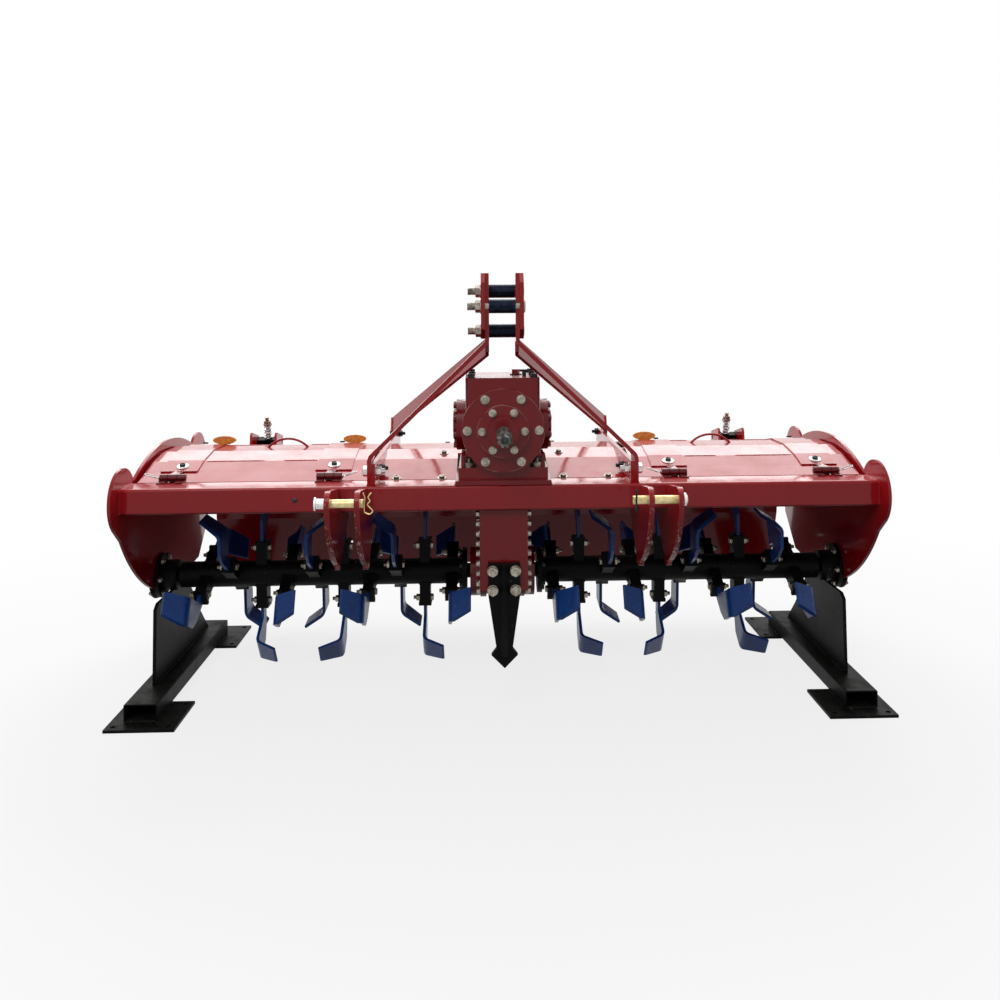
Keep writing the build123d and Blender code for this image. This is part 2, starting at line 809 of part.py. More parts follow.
def sheet_profile(points, thickness):
    """Closed YZ section of a folded sheet that lies under the given upper line."""
    with BuildSketch(Plane.YZ) as section:
        with BuildLine():
            Polyline(*[at(point) for point in points])
            offset(amount=thickness, side=Side.RIGHT)
        make_face()
    return section.sketch_local


with BuildPart() as hood_centre:
    with BuildSketch(Plane.YZ.offset(-hood_centre_half_width)):
        add(sheet_profile(hood_profile, hood_sheet))
    extrude(amount=2 * hood_centre_half_width)
    with BuildSketch(Plane.XY.offset(front_beam_bottom)):
        with Locations((0, back(base_rear / 2))):
            Rectangle(2 * (base_half_width + hood_notch_gap), base_rear + 2 * hood_notch_gap)
    extrude(amount=gearbox_top - front_beam_bottom, mode=Mode.SUBTRACT)
hood_centre.part.label = "hood_centre"
export_step(hood_centre.part, "parts/hood_centre.step")

with BuildPart() as cover_left:
    with BuildSketch(Plane.YZ.offset(-cover_outer_x)):
        add(sheet_profile(hood_profile, hood_sheet))
    extrude(amount=cover_width)
cover_left.part.label = "cover_left"
export_step(cover_left.part, "parts/cover_left.step")

with BuildPart() as cover_right:
    mirror(cover_left.part, about=Plane.YZ)
cover_right.part.label = "cover_right"
export_step(cover_right.part, "parts/cover_right.step")

# ---- cover hinges: outer knuckles, leaf and pin on the beam, middle knuckle on the cover ----
hinge_xs = [mast_foot_inner_x + inner_hinge_offset, side_inner_x - hinge_inset]
middle_knuckle_half = knuckle_length / 2
hinge_half = hinge_length / 2
with BuildPart() as cover_hinges:
    for side in (-1, 1):
        for hinge_x in hinge_xs:
            for end in (-1, 1):
                knuckle_start = side * hinge_x + end * (middle_knuckle_half + knuckle_gap)
                knuckle_reach = hinge_half - middle_knuckle_half - knuckle_gap
                with BuildSketch(Plane.YZ.offset(knuckle_start)):
                    with Locations(at((hinge_back, hinge_z))):
                        Circle(hinge_radius)
                extrude(amount=end * knuckle_reach)
                with BuildSketch(Plane.YZ.offset(knuckle_start)):
                    with Locations(at((hinge_back - hinge_leaf_length / 2, (beam_top + hinge_z) / 2))):
                        Rectangle(hinge_leaf_length, hinge_z - beam_top)
                extrude(amount=end * knuckle_reach)
            with BuildSketch(Plane.YZ.offset(side * hinge_x - hinge_half)):
                with Locations(at((hinge_back, hinge_z))):
                    Circle(hinge_pin_radius)
            extrude(amount=hinge_length)
cover_hinges.part.label = "cover_hinges"
export_step(cover_hinges.part, "parts/cover_hinges.step")


def cover_knuckles(side):
    """Middle knuckles of one cover's hinges, each with a short leaf down to the cover."""
    with BuildPart() as knuckles:
        for hinge_x in hinge_xs:
            with BuildSketch(Plane.YZ.offset(side * hinge_x - middle_knuckle_half)):
                with Locations(at((hinge_back, hinge_z))):
                    Circle(hinge_radius)
                with BuildLine():
                    Polyline(
                        at((hinge_back, hinge_z + hinge_radius)),
                        at((hinge_back + hinge_leaf_length, hinge_z + hinge_radius)),
                        at(hood_profile[1]),
                        at(hood_profile[0]),
                        close=True,
                    )
                make_face()
                with Locations(at((hinge_back, hinge_z))):
                    Circle(hinge_pin_radius + running_gap, mode=Mode.SUBTRACT)
            extrude(amount=knuckle_length)
    return knuckles.part


knuckles_left = cover_knuckles(-1)
knuckles_left.label = "cover_knuckles_left"
export_step(knuckles_left, "parts/cover_knuckles_left.step")
knuckles_right = cover_knuckles(1)
knuckles_right.label = "cover_knuckles_right"
export_step(knuckles_right, "parts/cover_knuckles_right.step")

# ---- trailing board: a folded sheet that hangs on knuckles behind the rear beam ----
board_outer_knuckle_x = board_half_width - board_knuckle_inset
board_hinge_xs = [share * board_outer_knuckle_x for share in (-1, -1 / 3, 1 / 3, 1)]
board_knuckle_half = board_knuckle_length / 2
board_lug_inner = board_knuckle_half + board_lug_gap
with BuildPart() as board_hinges:
    for hinge_x in board_hinge_xs:
        for end in (-1, 1):
            with BuildSketch(Plane.YZ.offset(hinge_x + end * board_lug_inner)):
                with Locations(at(board_hinge)):
                    Circle(board_knuckle_radius)
                with BuildLine():
                    Polyline(
                        at((rear_beam_face, rear_beam_z)),
                        at((board_hinge[0] + board_knuckle_radius, board_hinge[1])),
                        at((board_hinge[0], board_hinge[1] - board_knuckle_radius)),
                        at((rear_beam_face, beam_top - rear_beam_height + beam_corner)),
                        close=True,
                    )
                make_face()
            extrude(amount=end * board_lug_thickness)
        with BuildSketch(Plane.YZ.offset(hinge_x - board_lug_inner)):
            with Locations(at(board_hinge)):
                Circle(board_pin_radius)
        extrude(amount=2 * board_lug_inner)
board_hinges.part.label = "board_hinges"
export_step(board_hinges.part, "parts/board_hinges.step")

board_upper_slope = (board_profile[1][0] - board_profile[0][0]) / (board_profile[1][1] - board_profile[0][1])
board_leaf_z = board_profile[0][1] - board_leaf_lap
board_leaf_back = board_profile[0][0] - board_leaf_lap * board_upper_slope
with BuildPart() as trailing_board:
    with BuildSketch(Plane.YZ.offset(-board_half_width)):
        add(sheet_profile(board_profile, board_sheet))
    extrude(amount=2 * board_half_width)
    for hinge_x in board_hinge_xs:
        with BuildSketch(Plane.YZ.offset(hinge_x - board_knuckle_half)):
            with Locations(at(board_hinge)):
                Circle(board_knuckle_radius)
            with BuildLine():
                Polyline(
                    at((board_hinge[0] + board_knuckle_radius, board_hinge[1])),
                    at((board_leaf_back, board_leaf_z)),
                    at((board_leaf_back - board_sheet, board_leaf_z)),
                    at((board_hinge[0] - board_knuckle_radius, board_hinge[1])),
                    close=True,
                )
            make_face()
            with Locations(at(board_hinge)):
                Circle(board_pin_radius + running_gap, mode=Mode.SUBTRACT)
        extrude(amount=board_knuckle_length)
trailing_board.part.label = "trailing_board"
export_step(trailing_board.part, "parts/trailing_board.step")

# ---- depth rods: each is pinned to the board and slides through a swivel on the rear beam ----
rod_inset = 218
rod_x = side_inner_x - rod_inset
rod_radius = 7
rod_eye_radius = 15
rod_eye_thickness = 16
rod_pin_radius = 7
rod_lug_thickness = 8
rod_lug_radius = 18
rod_bore_gap = 3
swivel_width = 74
swivel_depth = 30
swivel_height = 22
trunnion_radius = 8
cheek_thickness = 8
cheek_top = 694
cheek_front = 700
spring_height = 52
spring_radius = 13.5
spring_wall = 3.5
spring_washer_radius = 15
rod_nut_radius = 12
spring_washer_thickness = 4
rod_nut_thickness = 10
rod_end_length = 12

rod_rise = rod_swivel[1] - rod_pin[1]
rod_lean = rod_swivel[0] - rod_pin[0]
rod_tilt = math.degrees(math.atan2(-rod_lean, rod_rise))
rod_span = math.hypot(rod_rise, rod_lean)
spring_foot = rod_span + swivel_height / 2
spring_top = spring_foot + spring_height
rod_length = spring_top + spring_washer_thickness + rod_nut_thickness + rod_end_length


def rod_plane(rod_x, height):
    """Plane across a depth rod, this far up it from its lower pin."""
    start = Vector(rod_x, back(rod_pin[0]), rod_pin[1])
    direction = Vector(0, rod_lean, rod_rise).normalized()
    return Plane(origin=start + direction * height, x_dir=(1, 0, 0), z_dir=direction)


rod_xs = [-rod_x, rod_x]
with BuildPart() as depth_rods:
    for x in rod_xs:
        with BuildSketch(Plane.YZ.offset(x - rod_eye_thickness / 2)):
            with Locations(at(rod_pin)):
                Circle(rod_eye_radius)
        extrude(amount=rod_eye_thickness)
        with BuildSketch(rod_plane(x, 0)):
            Circle(rod_radius)
        extrude(amount=rod_length)
        with BuildSketch(Plane.YZ.offset(x - rod_eye_thickness / 2)):
            with Locations(at(rod_pin)):
                Circle(rod_pin_radius + running_gap)
        extrude(amount=rod_eye_thickness, mode=Mode.SUBTRACT)
        with BuildSketch(rod_plane(x, spring_top + running_gap)):
            Circle(spring_washer_radius)
        extrude(amount=spring_washer_thickness)
        with BuildSketch(rod_plane(x, spring_top + running_gap + spring_washer_thickness)):
            RegularPolygon(rod_nut_radius, 6)
        extrude(amount=rod_nut_thickness)
depth_rods.part.label = "depth_rods"
export_step(depth_rods.part, "parts/depth_rods.step")

with BuildPart() as rod_swivels:
    for x in rod_xs:
        with BuildSketch(rod_plane(x, rod_span - swivel_height / 2)):
            Rectangle(swivel_width, swivel_depth)
        extrude(amount=swivel_height)
        with BuildSketch(Plane.YZ.offset(x - swivel_width / 2 - cheek_thickness)):
            with Locations(at(rod_swivel)):
                Circle(trunnion_radius)
        extrude(amount=swivel_width + 2 * cheek_thickness)
        with BuildSketch(rod_plane(x, rod_span - swivel_height)):
            Circle(rod_radius + rod_bore_gap)
        extrude(amount=2 * swivel_height, mode=Mode.SUBTRACT)
rod_swivels.part.label = "rod_swivels"
export_step(rod_swivels.part, "parts/rod_swivels.step")

with BuildPart() as rod_springs:
    for x in rod_xs:
        with BuildSketch(rod_plane(x, spring_foot)):
            Circle(spring_radius)
            Circle(spring_radius - spring_wall, mode=Mode.SUBTRACT)
        extrude(amount=spring_height)
rod_springs.part.label = "rod_springs"
export_step(rod_springs.part, "parts/rod_springs.step")

cheek_inner = swivel_width / 2 + board_lug_gap
with BuildPart() as rod_brackets:
    for x in rod_xs:
        for end in (-1, 1):
            with BuildSketch(Plane.YZ.offset(x + end * cheek_inner)):
                with BuildLine():
                    Polyline(
                        at((cheek_front, beam_top)),
                        at((cheek_front + cheek_thickness, cheek_top - cheek_thickness)),
                        at((rear_beam_middle + cheek_thickness, cheek_top)),
                        at((rod_swivel[0] + rod_lug_radius, rod_swivel[1] + rod_lug_radius)),
                        at((rod_swivel[0] + rod_lug_radius, rod_swivel[1] - rod_lug_radius)),
                        at((rear_beam_face, rear_beam_z)),
                        at((rear_beam_face, beam_top)),
                        close=True,
                    )
                make_face()
                with Locations(at(rod_swivel)):
                    Circle(trunnion_radius + running_gap, mode=Mode.SUBTRACT)
            extrude(amount=end * cheek_thickness)
rod_brackets.part.label = "rod_brackets"
export_step(rod_brackets.part, "parts/rod_brackets.step")

lug_inner = rod_eye_thickness / 2 + board_lug_gap
lug_root_back = board_profile[0][0] + (rod_pin[1] - board_profile[0][1]) * board_upper_slope
with BuildPart() as rod_lugs:
    for x in rod_xs:
        for end in (-1, 1):
            with BuildSketch(Plane.YZ.offset(x + end * lug_inner)):
                with BuildLine():
                    Polyline(
                        at((lug_root_back + rod_lug_radius * board_upper_slope, rod_pin[1] + rod_lug_radius)),
                        at((rod_pin[0], rod_pin[1] + rod_lug_radius)),
                        at((rod_pin[0], rod_pin[1] - rod_lug_radius)),
                        at((lug_root_back - rod_lug_radius * board_upper_slope, rod_pin[1] - rod_lug_radius)),
                        close=True,
                    )
                make_face()
                with Locations(at(rod_pin)):
                    Circle(rod_lug_radius)
            extrude(amount=end * rod_lug_thickness)
        with BuildSketch(Plane.YZ.offset(x - lug_inner)):
            with Locations(at(rod_pin)):
                Circle(rod_pin_radius)
        extrude(amount=2 * lug_inner)
rod_lugs.part.label = "rod_lugs"
export_step(rod_lugs.part, "parts/rod_lugs.step")

# ---- hood trim that rides on the covers: strap bands, lifting handles and reflectors ----
strap_width = 104
inner_strap_offset = 127
outer_strap_inset = 105
strap_xs = [mast_foot_inner_x + inner_strap_offset, side_inner_x - outer_strap_inset]
inner_handle_offset = 304
handle_x = mast_foot_inner_x + inner_handle_offset
handle_width = 128
handle_height = 26
handle_bar_radius = 3.5
handle_back = 400
reflector_half_length = 36
reflector_half_height = 13
reflector_thickness = 12
reflector_back = 470
outer_reflector_inset = 151
inner_reflector_offset = 107
reflector_outer_x = side_inner_x - outer_reflector_inset
reflector_inner_x = mast_foot_inner_x + inner_reflector_offset
strap_rise = 1.05 * strap_thickness


def hood_height(distance):
    """Height of the hood's upper face this far behind the beam's front face."""
    for start, end in zip(hood_profile, hood_profile[1:]):
        if start[0] <= distance <= end[0]:
            share = (distance - start[0]) / (end[0] - start[0])
            return start[1] + share * (end[1] - start[1])
    return hood_profile[-1][1]


def strap_bands(side):
    """Two folded straps that lie on one cover, from its front fold to its rear fold."""
    with BuildPart() as straps:
        for strap_x in strap_xs:
            with BuildSketch(Plane.YZ.offset(side * strap_x - strap_width / 2)):
                with BuildLine():
                    Polyline(*[at(point) for point in strap_profile])
                    offset(amount=strap_thickness, side=Side.LEFT)
                make_face()
            extrude(amount=strap_width)
    return straps.part


def lifting_handle(side):
    """A thin round bar in a shallow arch on one cover, with room under it for fingers."""
    foot_z = hood_height(handle_back)
    middle_x = side * handle_x
    half_width = handle_width / 2
    with BuildPart() as handle:
        with BuildLine(Plane.XZ.offset(-back(handle_back))) as arch:
            ThreePointArc(
                (middle_x - half_width, foot_z - handle_bar_radius),
                (middle_x, foot_z + handle_height),
                (middle_x + half_width, foot_z - handle_bar_radius),
            )
        with BuildSketch(Plane(origin=arch.line @ 0, z_dir=arch.line % 0)):
            Circle(handle_bar_radius)
        sweep()
        split(bisect_by=Plane.XY.offset(foot_z), keep=Keep.TOP)
    return handle.part


def reflector_strip(xs):
    """Oval lens blocks that stand on the hood behind its crest, one at each X."""
    middle_z = hood_height(reflector_back) + strap_rise + reflector_half_height
    with BuildPart() as strip:
        with BuildSketch(Plane.XZ.offset(-back(reflector_back))):
            for x in xs:
                with Locations((x, middle_z)):
                    Ellipse(reflector_half_length, reflector_half_height)
                with Locations((x, middle_z - reflector_half_height / 2)):
                    Rectangle(reflector_half_length, reflector_half_height)
        extrude(amount=-reflector_thickness)
    return strip.part


cover_pieces = {
    "straps_left": strap_bands(-1),
    "straps_right": strap_bands(1),
    "handle_left": lifting_handle(-1),
    "handle_right": lifting_handle(1),
    "reflectors_left": reflector_strip([-reflector_outer_x, -reflector_inner_x]),
    "reflector_right": reflector_strip([reflector_inner_x]),
}
for name, piece in cover_pieces.items():
    piece.label = name
    export_step(piece, f"parts/{name}.step")

# ---- parking stands: foot plates, a rail and an upright under each end bearing ----
upright_rail_front = 140
upright_rail_rear = 640
upright_top = 277
upright_front_top = 160
upright_bevel = 14
upright_rear_top = 430
upright_rear_low = (560, 130)
upright_saddle_radius = bearing_boss_radius
# One row for each foot plate: its front edge and its rear edge behind the beam's front face.
foot_rows = [(-40, 140), (576, 776)]
rail_top = foot_thickness + rail_height

with BuildPart() as stand_feet:
    for side in (-1, 1):
        for foot_front, foot_rear in foot_rows:
            with BuildSketch(Plane.XY):
                with Locations((side * foot_x, back((foot_front + foot_rear) / 2))):
                    Rectangle(foot_width, foot_rear - foot_front)
                    with GridLocations(
                        foot_width - 2 * foot_hole_margin,
                        foot_rear - foot_front - 2 * foot_hole_margin,
                        2,
                        2,
                    ):
                        Circle(foot_hole_radius, mode=Mode.SUBTRACT)
            extrude(amount=foot_thickness)
stand_feet.part.label = "stand_feet"
export_step(stand_feet.part, "parts/stand_feet.step")

with BuildPart() as stand_rails:
    for side in (-1, 1):
        with BuildSketch(Plane.XZ.offset(-back(rail_front))):
            with Locations((side * rail_x, foot_thickness + rail_height / 2)):
                RectangleRounded(rail_width, rail_height, rail_wall)
                Rectangle(rail_width - 2 * rail_wall, rail_height - 2 * rail_wall, mode=Mode.SUBTRACT)
        extrude(amount=-(rail_rear - rail_front))
stand_rails.part.label = "stand_rails"
export_step(stand_rails.part, "parts/stand_rails.step")

with BuildPart() as stand_uprights:
    for side in (-1, 1):
        with BuildSketch(Plane.YZ.offset(side * (upright_x - upright_thickness / 2))):
            with BuildLine():
                Polyline(
                    at((upright_rail_front, rail_top)),
                    at((upright_front_top - upright_bevel / 2, upright_top - upright_bevel)),
                    at((upright_front_top + upright_bevel, upright_top)),
                    at((upright_rear_top, upright_top)),
                    at(upright_rear_low),
                    at((upright_rail_rear, rail_top)),
                    close=True,
                )
            make_face()
            with Locations((rotor_y, rotor_z)):
                Circle(upright_saddle_radius, mode=Mode.SUBTRACT)
        extrude(amount=side * upright_thickness)
stand_uprights.part.label = "stand_uprights"
export_step(stand_uprights.part, "parts/stand_uprights.step")
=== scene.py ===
import json
import math

import bpy
import numpy as np
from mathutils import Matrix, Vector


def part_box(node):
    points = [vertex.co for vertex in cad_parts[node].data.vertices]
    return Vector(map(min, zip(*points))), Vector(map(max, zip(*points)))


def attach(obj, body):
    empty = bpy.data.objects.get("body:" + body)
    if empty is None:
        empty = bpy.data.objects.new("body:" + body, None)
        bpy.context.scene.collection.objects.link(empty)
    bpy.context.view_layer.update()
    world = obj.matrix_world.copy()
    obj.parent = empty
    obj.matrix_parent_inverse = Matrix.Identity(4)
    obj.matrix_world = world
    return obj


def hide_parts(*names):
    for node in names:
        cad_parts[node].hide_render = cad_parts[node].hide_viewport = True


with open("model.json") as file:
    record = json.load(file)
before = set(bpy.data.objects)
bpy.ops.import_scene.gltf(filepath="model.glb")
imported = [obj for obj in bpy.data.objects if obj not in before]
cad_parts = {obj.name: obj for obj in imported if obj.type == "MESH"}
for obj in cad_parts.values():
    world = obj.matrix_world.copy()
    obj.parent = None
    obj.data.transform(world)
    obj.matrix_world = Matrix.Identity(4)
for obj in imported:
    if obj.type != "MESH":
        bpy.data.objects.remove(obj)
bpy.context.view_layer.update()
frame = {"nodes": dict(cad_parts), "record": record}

# Dressing of a rotary tiller on its parking stands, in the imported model's frame: X runs across the
# machine, Y from the tractor to the rear and Z up from the floor. Objects are in metres. The tables
# are in millimetres, with "back" for the distance behind the front beam's front face. A name that
# ends in _place, _line or _axis is a pair: a back and a height.

beam_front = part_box("front_beam")[0].y * 1000
input_height = 784


# ---------------------------------------------------------------- shader maths


class Value:
    """A number socket that Python's operators turn into Math nodes."""

    def __init__(self, tree, socket):
        self.tree = tree
        self.socket = socket

    def _math(self, operation, *operands):
        made = self.tree.node(
            "ShaderNodeMath",
            {"operation": operation},
            {place: operand for place, operand in enumerate(operands)},
        )
        return Value(self.tree, made.outputs[0])

    def __add__(self, other):
        return self._math("ADD", self, other)

    def __radd__(self, other):
        return self._math("ADD", other, self)

    def __sub__(self, other):
        return self._math("SUBTRACT", self, other)

    def __rsub__(self, other):
        return self._math("SUBTRACT", other, self)

    def __mul__(self, other):
        return self._math("MULTIPLY", self, other)

    def __rmul__(self, other):
        return self._math("MULTIPLY", other, self)

    def __truediv__(self, other):
        return self._math("DIVIDE", self, other)

    def __rtruediv__(self, other):
        return self._math("DIVIDE", other, self)

    def __pow__(self, other):
        return self._math("POWER", self, other)

    def larger(self, other):
        """The larger of two values."""
        return self._math("MAXIMUM", self, other)

    def clipped(self):
        """The value held between nought and one."""
        return self._math("MINIMUM", self._math("MAXIMUM", self, 0.0), 1.0)

    def above(self, start, end):
        """Nought below start, one above end and a straight rise between them."""
        return ((self - start) / (end - start)).clipped()


class Tree:
    """A node tree, with one way to add any node and short ways to add the common ones."""

    def __init__(self, tree):
        self.tree = tree

    def node(self, kind, settings=None, inputs=None):
        """Adds a node: its settings first, then the values or links of its sockets."""
        made = self.tree.nodes.new(kind)
        for key, setting in (settings or {}).items():
            setattr(made, key, setting)
        for key, given in (inputs or {}).items():
            self.feed(made.inputs[key], given)
        return made

    def feed(self, socket, given):
        """Sets a socket's own value, or links it where a socket is given."""
        if isinstance(given, Value):
            self.tree.links.new(given.socket, socket)
        elif isinstance(given, bpy.types.NodeSocket):
            self.tree.links.new(given, socket)
        else:
            socket.default_value = given

    def value(self, node, output=0):
        """One output of a node as a value for expressions."""
        return Value(self, node.outputs[output])

    def seen(self):
        """One for what the camera, a mirror or a glass sees, nought for soft light."""
        path = self.node("ShaderNodeLightPath")
        straight = self.value(path, "Is Camera Ray").larger(self.value(path, "Is Glossy Ray"))
        return straight.larger(self.value(path, "Is Transmission Ray"))

    def mixed(self, factor, first, second):
        """First colour where factor is nought, second where it is one."""
        made = self.node(
            "ShaderNodeMix", {"data_type": "RGBA"}, {"Factor": factor, 6: first, 7: second}
        )
        return made.outputs[2]


class Paint(Tree):
    """One material on Object coordinates."""

    def __init__(self, name):
        self.material = bpy.data.materials.new(name)
        self.material.use_nodes = True
        super().__init__(self.material.node_tree)
        self.shader = self.tree.nodes["Principled BSDF"]
        self.place = self.node("ShaderNodeTexCoord").outputs["Object"]

    def axes(self):
        """The place's X, Y and Z in metres."""
        parts = self.node("ShaderNodeSeparateXYZ", None, {0: self.place})
        return [self.value(parts, axis) for axis in range(3)]

    def facing(self):
        """The surface normal's X, Y and Z."""
        normal = self.node("ShaderNodeNewGeometry").outputs["Normal"]
        parts = self.node("ShaderNodeSeparateXYZ", None, {0: normal})
        return [self.value(parts, axis) for axis in range(3)]

    def noise(self, scale, detail=3.0, roughness=0.5, stretch=None):
        """Noise in lumps of 1 / scale metres; stretch scales each axis by itself first."""
        place = self.place
        if stretch:
            scaled = self.node("ShaderNodeMapping", None, {"Vector": place, "Scale": stretch})
            place = scaled.outputs[0]
        made = self.node(
            "ShaderNodeTexNoise",
            None,
            {"Vector": place, "Scale": scale, "Detail": detail, "Roughness": roughness},
        )
        return self.value(made)

    def bump(self, height, distance, strength=1.0):
        """Feeds the shader's normal from a height in parts of distance."""
        made = self.node(
            "ShaderNodeBump", None, {"Height": height, "Distance": distance, "Strength": strength}
        )
        self.feed(self.shader.inputs["Normal"], made.outputs[0])

    def finish(self, **inputs):
        """Feeds the shader's sockets, named with underscores for spaces."""
        for key, given in inputs.items():
            self.feed(self.shader.inputs[key.replace("_", " ")], given)
        return self.material


def colour(red, green, blue):
    """A linear colour from display values between 0 and 255."""
    display = np.array([red, green, blue]) / 255
    linear = np.where(display <= 0.04045, display / 12.92, ((display + 0.055) / 1.055) ** 2.4)
    return (*linear.tolist(), 1.0)


# ---------------------------------------------------------------- finishes


# What lies on the paint, or shows where it is thin or gone, and two painted tones: a pale one that
# is partly dust and partly a painted sheen on tops, and a painted shade for undersides.
streak_red = colour(96, 10, 16)
# Partly dust and partly a painted sheen: a pale colour laid on upward faces in place of the sky's
# reflection.
pale_dust_and_sheen = colour(196, 168, 158)
# Painted shade: a darker red for the undersides of painted parts.
shaded_red = colour(74, 16, 18)
primer_brown = colour(66, 30, 30)
bare_iron = colour(186, 172, 164)
scuff_grey = colour(112, 110, 106)
deep_blue = colour(12, 30, 66)
rubbed_blue = colour(120, 130, 146)
grease_black = colour(34, 36, 34)
# The radii between which a worn ring or a hole's edge fades, in metres.
flange_rim = (0.1115, 0.1128)
cap_rim_start = (0.0688, 0.0698)
cap_rim_end = (0.0702, 0.0712)
hole_rim = (0.0052, 0.0053)


def enamel(name, first, second, grain=0.0, wear=None, holes=()):
    """Sprayed enamel under a clear coat: orange peel, chips, dust that is partly a painted sheen on
    top, and a painted shade on the dull underside.

    grain adds the sand texture of a casting, wear(paint) gives a mask of bare metal, and holes
    lists the X and Z of small round holes that are bored through along Y. A hole is nought
    inside its rim's two radii, one outside and a straight rise between them.
    """
    paint = Paint(name)
    cloud = paint.noise(2.6, 4.0)
    facing_up = paint.facing()[2]
    chips = paint.noise(230.0, 2.0, 0.6).above(0.7, 0.73) * paint.noise(9.0).above(0.52, 0.66)
    # Dust mask on upward faces, which also serves as a painted sheen on the tops.
    dust = facing_up.clipped() * paint.noise(11.0, 6.0, 0.7).above(0.42, 0.85)
    streaks = paint.noise(1.0, 4.0, 0.6, stretch=(34.0, 34.0, 3.0)).above(0.55, 0.85)
    # Painted shade mask: the surfaces that face down, such as undersides and the hood's inner faces.
    inside = (facing_up * -1.0).above(0.2, 0.6)
    body = paint.mixed(cloud, first, second)
    body = paint.mixed(streaks * 0.22, body, streak_red)
    # Pale dust mixed onto the tops, partly a painted sheen.
    body = paint.mixed(dust * 0.14, body, pale_dust_and_sheen)
    # Painted shade: downward faces are darkened towards shaded_red, and their coat is made duller
    # below.
    body = paint.mixed(inside * 0.5, body, shaded_red)
    body = paint.mixed(chips * 0.7, body, primer_brown)
    height = paint.noise(430.0, 1.0) * 0.5 - chips * 0.6
    if grain:
        height = height + paint.noise(620.0, 4.0, 0.7) * grain
    metallic = 0.0
    if wear:
        bare = wear(paint)
        body = paint.mixed(bare * 0.85, body, bare_iron)
        metallic = bare * 0.6
        height = height - bare * 0.7
    paint.bump(height, 0.0005, 0.5)
    alpha = 1.0
    if holes:
        x, _, z = paint.axes()
        for hole_x, hole_z in holes:
            distance = ((x - hole_x / 1000) ** 2.0 + (z - hole_z / 1000) ** 2.0) ** 0.5
            alpha = alpha * distance.above(*hole_rim)
    return paint.finish(
        Base_Color=body,
        Roughness=0.3 + dust * 0.25 + cloud * 0.08,
        Metallic=metallic,
        Specular_IOR_Level=0.06,
        Coat_Weight=(1.0 - dust * 0.35) * (1.0 - inside * 0.85),
        Coat_IOR=1.32,
        Coat_Roughness=0.1 + grain * 0.12,
        Alpha=alpha,
    )


def worn_rims(paint):
    """Bare rings where the flange's and the inner cap's rims have been rubbed."""
    x, _, z = paint.axes()
    distance = (x ** 2.0 + (z - input_height / 1000) ** 2.0) ** 0.5
    outer = distance.above(*flange_rim)
    inner = distance.above(*cap_rim_start) * (1.0 - distance.above(*cap_rim_end))
    return outer.larger(inner) * paint.noise(26.0, 3.0).above(0.42, 0.56) * 0.6


def worn_noses(paint):
    """Scratches down to metal on the ears' front edges, where the lower links knock."""
    facing_front = (paint.facing()[1] * -1.0).above(0.2, 0.6)
    height = paint.axes()[2]
    low = height.above(0.40, 0.43) * (1.0 - height.above(0.50, 0.58))
    marks = paint.noise(1.0, 5.0, 0.7, stretch=(220.0, 120.0, 44.0)).above(0.55, 0.62)
    small = paint.noise(150.0, 3.0).above(0.64, 0.68) * 0.6
    return (facing_front * (low * marks).larger(small)).clipped()


def satin_black(name, dark, soil_colour, soil_share):
    """Brushed black over steel with soil dust and bare scuffs."""
    paint = Paint(name)
    facing_up = paint.facing()[2].clipped()
    soil = paint.noise(24.0, 6.0, 0.72).above(0.46, 0.8) * (0.3 + facing_up * 0.7)
    scuff = paint.noise(1.0, 4.0, 0.7, stretch=(60.0, 22.0, 90.0)).above(0.66, 0.72)
    specks = paint.noise(210.0, 2.0, 0.6).above(0.71, 0.74)
    body = paint.mixed(soil * soil_share, dark, soil_colour)
    body = paint.mixed((scuff * 0.45).larger(specks * 0.6), body, scuff_grey)
    paint.bump(paint.noise(170.0, 4.0, 0.65) + scuff * -0.4, 0.0009, 0.5)
    return paint.finish(Base_Color=body, Roughness=0.46 + soil * 0.3, Specular_IOR_Level=0.07)


def tine_blue():
    """Deep blue dip paint over forged steel, cloudy and rubbed through at the raised spots."""
    paint = Paint("tine_blue")
    cloud = paint.noise(22.0, 5.0, 0.6)
    worn = paint.noise(150.0, 4.0, 0.7).above(0.63, 0.69)
    body = paint.mixed(cloud, colour(18, 54, 122), colour(30, 90, 178))
    body = paint.mixed(paint.noise(70.0, 4.0).above(0.5, 0.7) * 0.3, body, deep_blue)
    body = paint.mixed(worn * 0.45, body, rubbed_blue)
    paint.bump(paint.noise(190.0, 4.0, 0.65), 0.001, 0.55)
    return paint.finish(
        Base_Color=body,
        Roughness=0.34 + cloud * 0.14,
        Specular_IOR_Level=0.15,
        Coat_Weight=0.3,
        Coat_IOR=1.35,
        Coat_Roughness=0.15,
    )


def metal(name, light, dark, roughness, grease=0.0):
    """Bare or plated steel: a cloudy sheen, drawing marks and, where asked, dark grease."""
    paint = Paint(name)
    cloud = paint.noise(70.0, 4.0, 0.6)
    marks = paint.noise(1.0, 3.0, 0.6, stretch=(300.0, 60.0, 300.0))
    body = paint.mixed(cloud.above(0.3, 0.7), dark, light)
    metallic = 1.0
    if grease:
        film = paint.noise(60.0, 5.0, 0.65).above(0.36, 0.5) * grease
        body = paint.mixed(film, body, grease_black)
        metallic = 1.0 - film * 0.8
    paint.bump(marks, 0.0003, 0.5)
    return paint.finish(Base_Color=body, Metallic=metallic, Roughness=roughness + marks * 0.2)


def amber():
    """Amber lens plastic with fine upright ribs."""
    paint = Paint("amber_lens")
    ribs = paint.noise(1.0, 1.0, 0.5, stretch=(420.0, 40.0, 60.0))
    spots = paint.noise(120.0, 3.0).above(0.4, 0.7)
    paint.bump(ribs, 0.0014, 0.7)
    return paint.finish(
        Base_Color=paint.mixed(spots, colour(238, 142, 10), colour(255, 204, 60)),
        Roughness=0.24,
        Coat_Weight=0.6,
        Coat_Roughness=0.08,
    )


